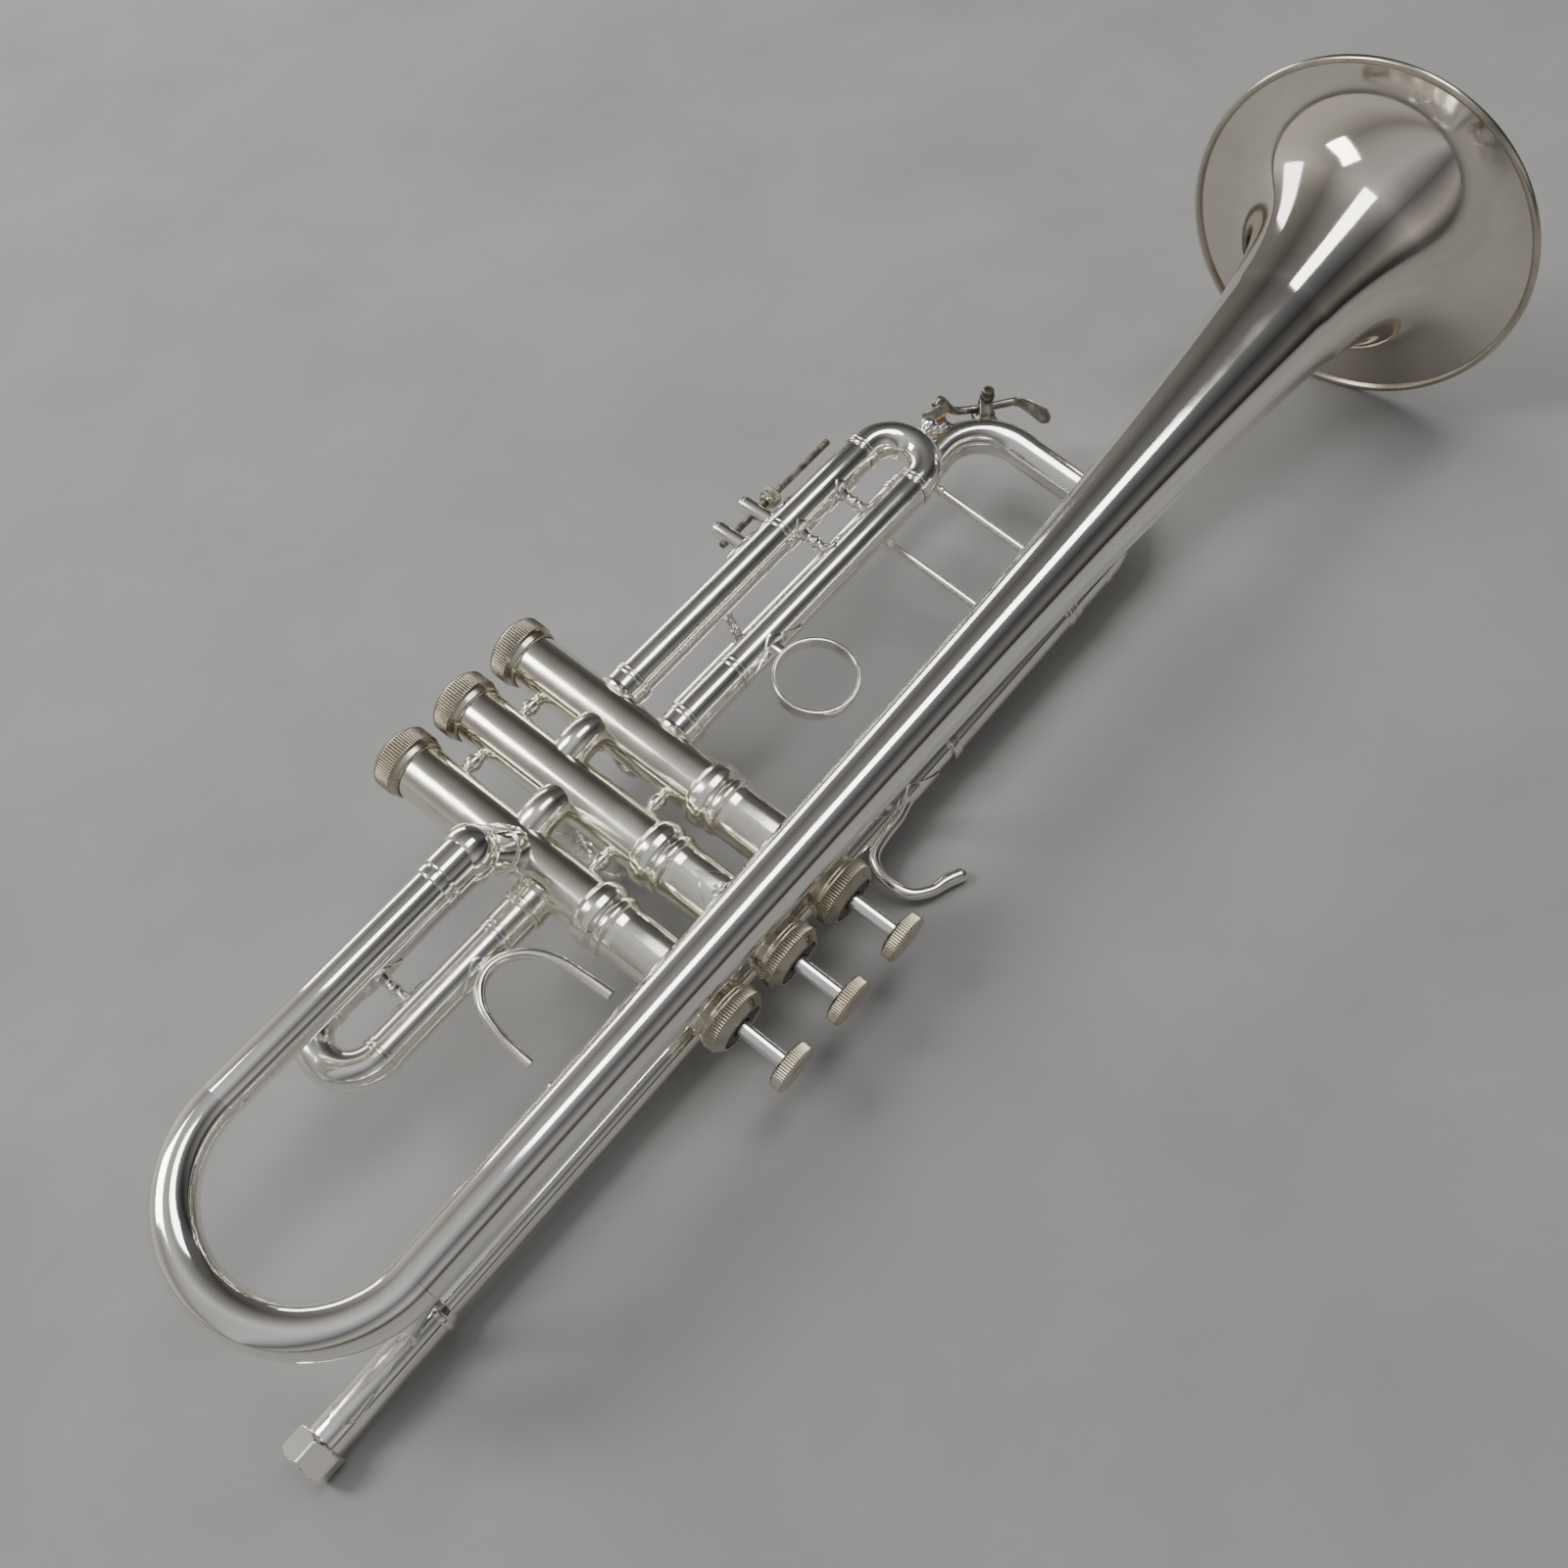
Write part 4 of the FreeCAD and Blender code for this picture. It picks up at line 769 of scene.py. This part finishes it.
def long_post(x, tube_r):
    way = unit(on_lead(x) - main_low(x))
    start = main_low(x) + way * (tube_r - 0.2)
    length = np.linalg.norm(on_lead(x) - main_low(x)) - 2 * tube_r + 0.4
    half = [(0, EDGE), (0, 2.4), (1.4, 2.4), (1.9, 1.5), (3.2, 1.5), (3.6, 2.1),
            (4.6, 2.1), (5.2, 1.35)]
    profile = half + [(length - a, r) for a, r in reversed(half)]
    return lathe(profile, start, way, 0.25, steps=36)


def build_fixed_braces():
    low = P(LINK_BRACE_X, 0, SLIDE3_LOW_Z)
    high = main_low(LINK_BRACE_X)
    sunk = unit(high - low) * (SLEEVE_R - 0.3)
    link = turned_post(low + sunk, high - sunk, 1.7, 2.6)
    piece("slide_posts", [long_post(FIXED_BRACE_X, SLEEVE_R), link], "tube", "body",
          "fixed_slide_braces")
    piece("crook_post", [long_post(SLIDE_BRACE_X, MOVING_R)], "tube", "tuning_slide_body",
          "tuning_slide_brace")


# ---- slides -----------------------------------------------------------------------
def sleeve(root, axis, length, bead_at, bead_r=7.3):
    """Fixed outer tube: casing foot, wide root, ring and tube end."""
    root = np.asarray(root, float)
    tube = straight(root + axis * 6.5, root + axis * length, SLEEVE_R, LEG_R + LEG_GAP, 0.15)
    neck = [(6.5, SLEEVE_R - 0.2), (6.5, 7.0), (8.6, 6.9), (10.6, 6.95), (bead_at, 7.0),
            (bead_at + 0.4, bead_r), (bead_at + 1.4, bead_r), (bead_at + 1.7, 6.8),
            (bead_at + 2.0, bead_r), (bead_at + 2.7, bead_r - 0.1),
            (bead_at + 3.0, SLEEVE_R - 0.2)]
    return [tube, lathe(neck, root, axis, 0.2, True, 72),
            foot(root, axis, 6.8, 2.4, 1.2, 7.2)]


def thin_ring(point, axis, tube_r, stand=0.35, length=2.8):
    """Two fine lines round a tube end: a grooved soldered ring."""
    profile = [(0, tube_r - 0.3), (0, tube_r + stand), (length * 0.4, tube_r + stand),
               (length * 0.5, tube_r + stand * 0.2), (length * 0.6, tube_r + stand),
               (length, tube_r + stand), (length, tube_r - 0.3)]
    return lathe(profile, point, axis, 0.15, True, 72)


def knob(base, axis, ball_r):
    crown = [(4.7 + 2.55 * math.sin(a), 0.001 + ball_r * math.cos(a) ** 0.8)
             for a in np.linspace(0, math.pi / 2 - 0.01, 14)]
    profile = [(0, EDGE), (0, 2.9), (0.8, 2.5), (1.5, 2.0), (2.4, 2.0), (2.8, 2.9),
               (3.3, ball_r - 0.4), (3.9, ball_r)] + crown + [(7.25, EDGE)]
    return lathe(profile, base, axis, 0.15, steps=56)


def build_slide_1():
    joint = -47.9
    crook = -97.0
    middle = (SLIDE1_HIGH_Z + SLIDE1_LOW_Z) / 2
    parts = []
    for z in (SLIDE1_HIGH_Z, SLIDE1_LOW_Z):
        parts += sleeve(P(-SPACING, 0, z), -X, -SPACING - joint, 12.0)
    piece("slide_1_outer", parts, "casing", "body", "slide_1_sleeves")
    shoulder = joint - 0.4
    path = u_path(P(crook, 0, middle), SLIDE_PITCH / 2, -X, Z, shoulder - crook)
    parts = [sweep(path, MOVING_R, LEG_BORE, steps=64)]
    for z in (SLIDE1_HIGH_Z, SLIDE1_LOW_Z):
        parts.append(straight(P(shoulder - 1, 0, z), P(shoulder + 10.5, 0, z), LEG_R, LEG_BORE))
        parts.append(thin_ring(P(crook + 2.4, 0, z), -X, MOVING_R, 0.5))
        parts.append(thin_ring(P(shoulder - 0.2, 0, z), -X, MOVING_R, 0.3))
        flange = P(SLIDE1_BRACE_X, 0, z)
        parts.append(leaf(flange, (middle - z) * Z, X, 8, 5, MOVING_R, thick=0.6))
    parts.append(turned_post(P(SLIDE1_BRACE_X, 0, SLIDE1_LOW_Z + MOVING_R - 0.4),
                             P(SLIDE1_BRACE_X, 0, SLIDE1_HIGH_Z - MOVING_R + 0.4), 1.6, 2.8))
    piece("slide_1_tube", parts, "tube", "slide_1", "slide_1_crook")
    route = curve([P(-43.2, 6, 9.5), P(-43.9, 6, 0), P(-45.0, 6, -9), P(-49.0, 6, -17),
                   P(-56, 6, -21.9), P(-63, 6, -21.6), P(-68.8, 6, -16.5),
                   P(-71.6, 6, -8), P(-72.4, 6, 0), P(-72.6, 6, 6)], 8)
    ends = np.linspace(0, 1, len(route))
    thin = np.clip(np.minimum(ends, 1 - ends) / 0.18, 0, 1)
    radius = 1.7 + 0.15 * (1 - thin)
    rod = sweep(route, radius, up=Y, flat=0.75 + 0.25 * thin, steps=32)
    plate = leaf(P(-60.5, 0, SLIDE1_HIGH_Z), Z + Y * 0.5, X, 9.5, 5.5, MOVING_R)
    root = straight(P(-60.5, 3.2, SLIDE1_HIGH_Z + 4), P(-60.5, 5.6, -21.4), 1.9)
    piece("thumb_hook", [rod, plate, root], "tube", "slide_1", "thumb_saddle")


def build_slide_2():
    middle = (SLIDE1_HIGH_Z + SLIDE1_LOW_Z) / 2
    parts = []
    for z in (SLIDE1_HIGH_Z, SLIDE1_LOW_Z):
        parts += sleeve(P(0, 0, z), -Y, 24.0, 11.0, 7.2)
    piece("slide_2_outer", parts, "casing", "body", "slide_2_sleeves")
    crook = -29.5
    path = u_path(P(0, crook, middle), SLIDE_PITCH / 2, -Y, Z, -24.4 - crook)
    parts = [sweep(path, MOVING_R, LEG_BORE, steps=64),
             knob(P(0, crook - SLIDE_PITCH / 2 - MOVING_R + 0.7, middle), -Y, 3.4)]
    for z in (SLIDE1_HIGH_Z, SLIDE1_LOW_Z):
        parts.append(straight(P(0, -25.4, z), P(0, -11.9, z), LEG_R, LEG_BORE))
        parts.append(thin_ring(P(0, crook + 2.0, z), -Y, MOVING_R, 0.4, 2.4))
    piece("slide_2_tube", parts, "tube", "slide_2", "slide_2_crook")


def build_slide_3():
    ends = {SLIDE3_LOW_Z: 110.6, SLIDE3_HIGH_Z: 60.7}
    parts = []
    for z, end in ends.items():
        parts += sleeve(P(SPACING, 0, z), X, end - SPACING, 12.5)
    piece("slide_3_outer", parts, "tube", "body", "slide_3_sleeves")
    parts = []
    for z, end in ends.items():
        inside = min(52.0, end - SPACING - 16.0)
        parts.append(straight(P(end - inside, 0, z), P(end + 1.4, 0, z), LEG_R, LEG_BORE))
        parts.append(straight(P(end + 0.4, 0, z), P(153.6, 0, z), MOVING_R, LEG_BORE, 0.1))
        parts.append(thin_ring(P(end + 0.6, 0, z), X, MOVING_R, 0.3, 3.2))
    piece("slide_3_tubes", parts, "tube", "slide_3", "slide_3_legs")
    middle = (SLIDE3_LOW_Z + SLIDE3_HIGH_Z) / 2
    path = u_path(P(158, 0, middle), SLIDE_PITCH / 2, X, -Z, 4.0)
    small = LEG_BORE - LEG_GAP
    parts = [sweep(path, MOVING_R, 4.8, steps=64),
             knob(P(158 + SLIDE_PITCH / 2 + MOVING_R - 0.8, 0, middle), X, 3.7)]
    for z in ends:
        parts.append(straight(P(138, 0, z), P(155, 0, z), small, small - WALL))
        parts.append(thin_ring(P(154.6, 0, z), X, MOVING_R, 0.45, 2.6))
    piece("slide_3_crook", parts, "mirror", "slide_3_end", "slide_3_end_crook")
    parts = []
    for x in SLIDE3_BRACE_X:
        parts.append(turned_post(P(x, 0, SLIDE3_LOW_Z + MOVING_R - 0.4),
                                 P(x, 0, SLIDE3_HIGH_Z - MOVING_R + 0.4), 1.7, 3.0))
        parts.append(leaf(P(x, 0, SLIDE3_LOW_Z), Z, X, 9.0, 6.5, MOVING_R))
        parts.append(leaf(P(x, 0, SLIDE3_HIGH_Z), -Z, X, 9.0, 6.5, MOVING_R))
    piece("slide_3_posts", parts, "tube", "slide_3", "slide_3_braces")


def build_finger_ring():
    centre = P(75, 4.5, -11.2)
    profile = [(-2.3, 12.5), (-2.3, 13.8), (2.3, 13.8), (2.3, 12.5)]
    strip = lathe(profile, centre, Y, 0.55, True, 120)
    block = straight(P(76.2, 3.6, -28.6), P(75.6, 4.5, -24.2), 1.9)
    plate = leaf(P(77, 0, SLIDE3_HIGH_Z), Z + Y * 0.35, X, 12, 6, MOVING_R)
    piece("ring_loop", [strip, block, plate], "tube", "slide_3", "finger_ring")


def stop_boss(x, tube_r, leaf_x, leaf_half):
    drop = -SLIDE3_LOW_Z
    profile = [(drop + tube_r - 1.5, EDGE), (drop + tube_r - 1.5, 2.9), (-ROD_Z + 5.0, 2.9),
               (-ROD_Z + 5.2, 2.3), (-ROD_Z + 6.2, 2.3), (-ROD_Z + 6.2, EDGE)]
    post = lathe(profile, P(x, 0, 0), -Z, 0.35, steps=48)
    plate = leaf(P(leaf_x, 0, SLIDE3_LOW_Z), -Z, X, leaf_half, 5.5, tube_r)
    return [post, plate]


def build_stop():
    piece("rod_post", stop_boss(101.2, SLEEVE_R, 101.2, 7.5), "tube", "body",
          "stop_post_fixed")
    piece("slide_post", stop_boss(114.4, MOVING_R, 119.4, 8.5), "tube", "slide_3",
          "stop_post_moving")
    pitch = 0.7
    length = ROD_END_X - ROD_START_X

    def thread(along, turn, radius):
        phase = (along / pitch - turn / TAU) % 1.0
        return -0.18 * np.abs(2 * phase - 1) if 0.6 < along < length - 0.4 else 0.0

    count = int(length / pitch * 7)
    profile = [(0, EDGE), (0, ROD_R - 0.1)]
    profile += [(0.3 + (length - 0.6) * k / count, ROD_R) for k in range(count + 1)]
    profile += [(length, ROD_R - 0.3), (length, EDGE)]
    rod = lathe(profile, P(ROD_START_X, 0, ROD_Z), X, 0, False, 20, thread)
    piece("threaded_rod", [rod], "dark", "body", "stop_rod")
    nut = [(0, ROD_R + 0.05), (0, 2.4), (1, 2.4), (1.4, 3.4), (4.4, 3.4), (5, 2.8),
           (5, ROD_R + 0.05)]
    piece("knurled_nut", [lathe(nut, P(119.2, 0, ROD_Z), X, 0.15, True, 240,
                                knurl(30, 0.3, 1.5, 4.3))], "cap", "stop_nut_body",
          "stop_nut", slot="dark_nickel")


def main_low(x):
    return P(x, MAIN_LOW_Y, MAIN_LOW_Z)


CROOK_ROUTE = [main_low(MAIN_JOINT_X + 0.4), main_low(MAIN_APEX_X), on_lead(MAIN_APEX_X),
               on_lead(MAIN_JOINT_X + 0.4)]


def build_main_slide():
    route = bend_path([P(SPACING, -6.0, MAIN_LOW_Z), main_low(SPACING),
                       main_low(MAIN_JOINT_X)], MAIN_REAR_R)
    parts = [sweep(route, SLEEVE_R, LEG_R + LEG_GAP, steps=64),
             thin_ring(P(SPACING, -9.6, MAIN_LOW_Z), -Y, SLEEVE_R, 0.6),
             foot(P(SPACING, 0, MAIN_LOW_Z), -Y, SLEEVE_R, 2.6, 1.2, 6.8),
             straight(on_lead(96), on_lead(MAIN_JOINT_X), SLEEVE_R, LEG_R + LEG_GAP),
             band(on_lead(96), X, 4.0, 5.5, 7.0)]
    for point in (main_low, on_lead):
        parts.append(thin_ring(point(MAIN_JOINT_X - 3.2), X, SLEEVE_R, 0.5, 3.2))
    piece("main_sleeves", parts, "tube", "body", "main_slide_sleeves")
    parts = [sweep(bend_path(CROOK_ROUTE, MAIN_CORNER_R, 36), MOVING_R, LEG_BORE, steps=72)]
    for point in (main_low, on_lead):
        parts.append(straight(point(118), point(MAIN_JOINT_X + 1.4), LEG_R, LEG_BORE))
        parts.append(thin_ring(point(MAIN_JOINT_X + 0.6), X, MOVING_R, 0.45, 3.2))
        parts.append(thin_ring(point(183.0), X, MOVING_R, 0.4, 2.6))
    piece("main_crook", parts, "tube", "tuning_slide_body", "tuning_slide")


DOWN = unit(main_low(0) - on_lead(0))
LEFT = np.cross(X, DOWN)
CORNER = main_low(MAIN_APEX_X) - (X + DOWN) * MAIN_CORNER_R
KEY_ANGLE = math.radians(76)
KEY_TILT = math.radians(30)
KEY_OUT = X * math.cos(KEY_ANGLE) + DOWN * math.sin(KEY_ANGLE)
KEY_WAY = KEY_OUT * math.cos(KEY_TILT) + LEFT * math.sin(KEY_TILT)
KEY_ROOT = CORNER + KEY_OUT * MAIN_CORNER_R
KEY_SEAT = KEY_ROOT + KEY_WAY * 9.6
KEY_Y = -22.5
KEY_PIVOT = P(216.5, KEY_Y, -44.5)


def build_water_key():
    nipple = [(4.6, 1.0), (4.6, 3.6), (6.3, 3.4), (6.8, 2.9), (7.6, 2.4), (9.6, 2.4),
              (9.6, 1.0)]
    lean = unit(KEY_PIVOT - CORNER)
    saddle = [(MAIN_CORNER_R + 3.0, EDGE), (MAIN_CORNER_R + 3.0, 4.7),
              (MAIN_CORNER_R + 7.2, 4.7), (MAIN_CORNER_R + 7.4, EDGE)]
    parts = [lathe(nipple, KEY_ROOT, KEY_WAY, 0.3, steps=48),
             lathe(saddle, CORNER, lean, 0.3, steps=48)]
    for side in (-1, 1):
        middle = KEY_PIVOT + Y * side * 4.6
        parts.append(straight(middle - Y * 0.7, middle + Y * 0.7, 2.5, None, 0.3, 40))
        parts.append(sweep([middle, middle - lean * 4.0, middle - lean * 7.4], 2.4, up=Y,
                           flat=[0.29] * 3, steps=32))
    piece("key_saddle", parts, "leaf", "tuning_slide_body", "water_key_fittings",
          slot="silver_plate")
    screw = [(0, EDGE), (0, 1.0), (11.2, 1.0), (11.2, 2.6), (12.6, 2.6), (13.2, 2.1),
             (14.6, 2.1), (15, 1.7), (15, 0.9), (14.2, 0.8), (14.2, EDGE)]
    piece("key_screw", [lathe(screw, KEY_PIVOT - Y * 5.8, Y, 0.2, steps=40)], "dark",
          "tuning_slide_body", "pivot_screw")
    start = KEY_PIVOT - Y * 3.4
    turns = [start + P(4.0 * math.cos(a), 0, 4.0 * math.sin(a))
             for a in np.linspace(math.pi, 3 * math.pi - 0.001, 48)]
    piece("key_wire", [sweep(turns + [start + P(-7.5, 0, -2.0)], 0.4, steps=12)], "dark",
          "tuning_slide_body", "key_spring", slot="spring_steel")
    cup = [(1.2, 3.9), (1.2, 4.7), (4.2, 4.7), (4.6, 4.2), (4.6, EDGE), (3.6, EDGE),
           (3.6, 3.9)]
    arm = curve([KEY_SEAT + KEY_WAY * 4.3 + X * 1.0, KEY_SEAT + KEY_WAY * 4.4 + X * 4.5,
                 P(207, KEY_Y + 1.5, -52.0), P(212, KEY_Y, -48.2), KEY_PIVOT,
                 P(221.5, KEY_Y, -41.0), P(226.4, KEY_Y, -37.4)], 8)
    leaf_path = curve([P(224.8, KEY_Y, -38.6), P(226.9, KEY_Y, -35), P(227.2, KEY_Y, -30),
                       P(227.2, KEY_Y, -26.5), P(227.1, KEY_Y, -23.4)], 8)
    t = np.linspace(0, 1, len(leaf_path))
    wide = 1.6 + 2.4 * np.sin(np.clip(t * 1.35, 0, 1) * math.pi / 2) ** 1.2
    wide *= np.clip((1.02 - t) / 0.22, 0.15, 1) ** 0.5
    paddle = sweep(leaf_path, wide * 0.2, up=Y, flat=np.full(len(leaf_path), 5.0), steps=40)
    hub = straight(KEY_PIVOT - Y * 2.6, KEY_PIVOT + Y * 2.6, 2.9, 1.06, 0.3, 40)
    piece("key_lever", [lathe(cup, KEY_SEAT, KEY_WAY, 0.3, steps=48),
                        sweep(arm, 1.45, up=Y, steps=24), hub, paddle], "leaf", "water_key",
          "water_lever")
    pad = [(0.05, EDGE), (0.05, 3.6), (0.5, 3.88), (3.6, 3.88), (3.6, EDGE)]
    piece("cork_pad", [lathe(pad, KEY_SEAT, KEY_WAY, 0.25, steps=48)], "cork", "water_key",
          "water_cork")


def build_finger_hook():
    y = LEAD_Y + 2.0
    route = curve([P(73, y - 0.4, 29.6), P(66, y, 31.2), P(58, y, 31.6), P(51, y, 33.2),
                   P(47.4, y, 38), P(46.6, y, 44), P(48, y, 50), P(53, y, 54.2),
                   P(58.5, y, 55.8), P(64.5, y, 58.6)], 8)
    t = np.linspace(0, 1, len(route))
    tip = np.clip((t - 0.8) / 0.2, 0, 1)
    radius = 1.9 + 0.45 * np.sin(tip * math.pi * 0.75)
    radius[-1] *= 0.7
    rod = sweep(route, radius, up=Y, flat=1.0 - 0.15 * tip, steps=32)
    plate = leaf(on_lead(76), Z + Y * 0.3, X, 12, 5.5, 5.5)
    piece("little_finger_hook", [rod, plate], "tube", "body", "finger_hook")


def restyle_pistons():
    """The pistons keep their CAD shape and get a honed surface."""
    for n in VALVE_X:
        node = frame["nodes"]["piston_%d" % n]
        node.data.materials.clear()
        node.data.materials.append(MATERIALS["stem"])


# ---- stage ------------------------------------------------------------------------
# the camera, in the instrument's frame
CAMERA_AT = P(-131.6, 401.3, 123.3)
CAMERA_RIGHT = P(0.6424, -0.0010, 0.7664)
CAMERA_AHEAD = P(0.3055, -0.9168, -0.2572)
LENS = 34.38              # focal length for a 36 mm wide frame
SHIFT = (0.0415, 0.0692)


def build_camera():
    ahead = unit(CAMERA_AHEAD @ BASIS)
    right = unit(CAMERA_RIGHT @ BASIS)
    right = unit(right - ahead * np.dot(right, ahead))
    up = np.cross(right, ahead)
    data = bpy.data.cameras.new("view")
    data.lens = LENS
    data.sensor_width = 36.0
    data.shift_x, data.shift_y = SHIFT
    data.clip_start = 0.01
    camera = bpy.data.objects.new("view", data)
    bpy.context.scene.collection.objects.link(camera)
    camera.matrix_world = Matrix([
        (right[0], up[0], -ahead[0], to_row(CAMERA_AT)[0]),
        (right[1], up[1], -ahead[1], to_row(CAMERA_AT)[1]),
        (right[2], up[2], -ahead[2], to_row(CAMERA_AT)[2]),
        (0, 0, 0, 1)])
    bpy.context.scene.camera = camera


def build_floor():
    mesh = bpy.data.meshes.new("floor")
    half = 6.0
    mesh.from_pydata([(-half, -half, 0), (half, -half, 0), (half, half, 0),
                      (-half, half, 0)], [], [(0, 1, 2, 3)])
    floor = bpy.data.objects.new("floor", mesh)
    bpy.context.scene.collection.objects.link(floor)
    n = Nodes("floor_paint")
    cloud = n.noise(9, 6, 0.6, distortion=0.3)
    colour = n.mix(n.ramp(cloud, 0.3, 0.7), rgb(0.29, 0.286, 0.278), rgb(0.35, 0.346, 0.336))
    n.feed(colour, n.shader.inputs["Base Color"])
    n.shader.inputs["Roughness"].default_value = 0.8
    mesh.materials.append(n.material)


def soft_light(name, at, target, size, power, colour=(1, 1, 1)):
    data = bpy.data.lights.new(name, "AREA")
    data.shape = "RECTANGLE"
    data.size, data.size_y = size
    data.energy = power
    data.color = colour
    light = bpy.data.objects.new(name, data)
    bpy.context.scene.collection.objects.link(light)
    light.location = at
    light.rotation_euler = (Vector(target) - Vector(at)).to_track_quat("-Z", "Y").to_euler()
    return light


def build_lights():
    soft_light("ceiling", (0.62, -0.35, 1.75), (0.6, 0, 0), (1.3, 0.5), 14)
    soft_light("window", (0.6, 1.7, 0.62), (0.6, 0, 0), (1.3, 0.55), 11, (0.96, 0.98, 1.0))
    soft_light("lamp", (-0.7, 0.85, 1.4), (0, 0, 0), (0.5, 0.9), 15)


ROLL_STOPS = ((0.0, (0.06, 0.06, 0.062)), (0.07, (0.07, 0.07, 0.073)),
              (0.14, (0.34, 0.33, 0.31)), (0.27, (0.10, 0.10, 0.11)),
              (0.42, (0.42, 0.43, 0.45)), (0.56, (0.36, 0.355, 0.35)),
              (0.67, (0.20, 0.195, 0.185)), (0.82, (0.42, 0.41, 0.39)),
              (1.0, (0.5, 0.48, 0.45)))
REACH_STOPS = tuple((place, (shade, shade, shade)) for place, shade in (
    (0.0, 0.75), (0.25, 0.8), (0.42, 1.0), (0.6, 0.5), (0.85, 0.18), (1.0, 0.15)))
ROOM_STRENGTH = 1.55
HORIZON_LIFT = 0.12       # keeps the bands from meeting in a line at the horizon


def banded(tree, value, low, high, stops):
    """Colours in bands as a value goes from low to high."""
    spread = tree.nodes.new("ShaderNodeMapRange")
    spread.inputs["From Min"].default_value = low
    spread.inputs["From Max"].default_value = high
    tree.links.new(value, spread.inputs["Value"])
    ramp = tree.nodes.new("ShaderNodeValToRGB")
    tree.links.new(spread.outputs["Result"], ramp.inputs["Fac"])
    elements = ramp.color_ramp.elements
    elements[0].color = rgb(*stops[0][1])
    elements[1].color = rgb(*stops[-1][1])
    for position, colour in stops[1:-1]:
        elements.new(position).color = rgb(*colour)
    return ramp.outputs["Color"]


def build_room():
    """Plain studio walls in soft bands round the instrument's length, dimmer ahead."""
    world = bpy.data.worlds.new("room")
    world.use_nodes = True
    bpy.context.scene.world = world
    tree = world.node_tree
    background = tree.nodes["Background"]
    split = tree.nodes.new("ShaderNodeSeparateXYZ")
    direction = tree.nodes.new("ShaderNodeTexCoord").outputs["Generated"]
    tree.links.new(direction, split.inputs[0])
    lifted = tree.nodes.new("ShaderNodeMath")
    lifted.inputs[1].default_value = HORIZON_LIFT
    tree.links.new(split.outputs["Z"], lifted.inputs[0])
    roll = tree.nodes.new("ShaderNodeMath")
    roll.operation = "ARCTAN2"
    tree.links.new(split.outputs["Y"], roll.inputs[0])
    tree.links.new(lifted.outputs[0], roll.inputs[1])
    both = tree.nodes.new("ShaderNodeMix")
    both.data_type = "RGBA"
    both.blend_type = "MULTIPLY"
    both.inputs["Factor"].default_value = 1.0
    around = banded(tree, roll.outputs[0], -math.pi / 2, math.pi / 2, ROLL_STOPS)
    ahead = banded(tree, split.outputs["X"], -1.0, 1.0, REACH_STOPS)
    tree.links.new(around, both.inputs[6])
    tree.links.new(ahead, both.inputs[7])
    tree.links.new(both.outputs[2], background.inputs["Color"])
    background.inputs["Strength"].default_value = ROOM_STRENGTH


for number in VALVE_X:
    build_valve(number)
build_between_casings()
build_bell()
build_bow()
build_leadpipe()
build_bell_braces()
build_fixed_braces()
build_slide_1()
build_slide_2()
build_slide_3()
build_finger_ring()
build_stop()
build_main_slide()
build_water_key()
build_finger_hook()
restyle_pistons()
build_camera()
build_floor()
build_lights()
build_room()
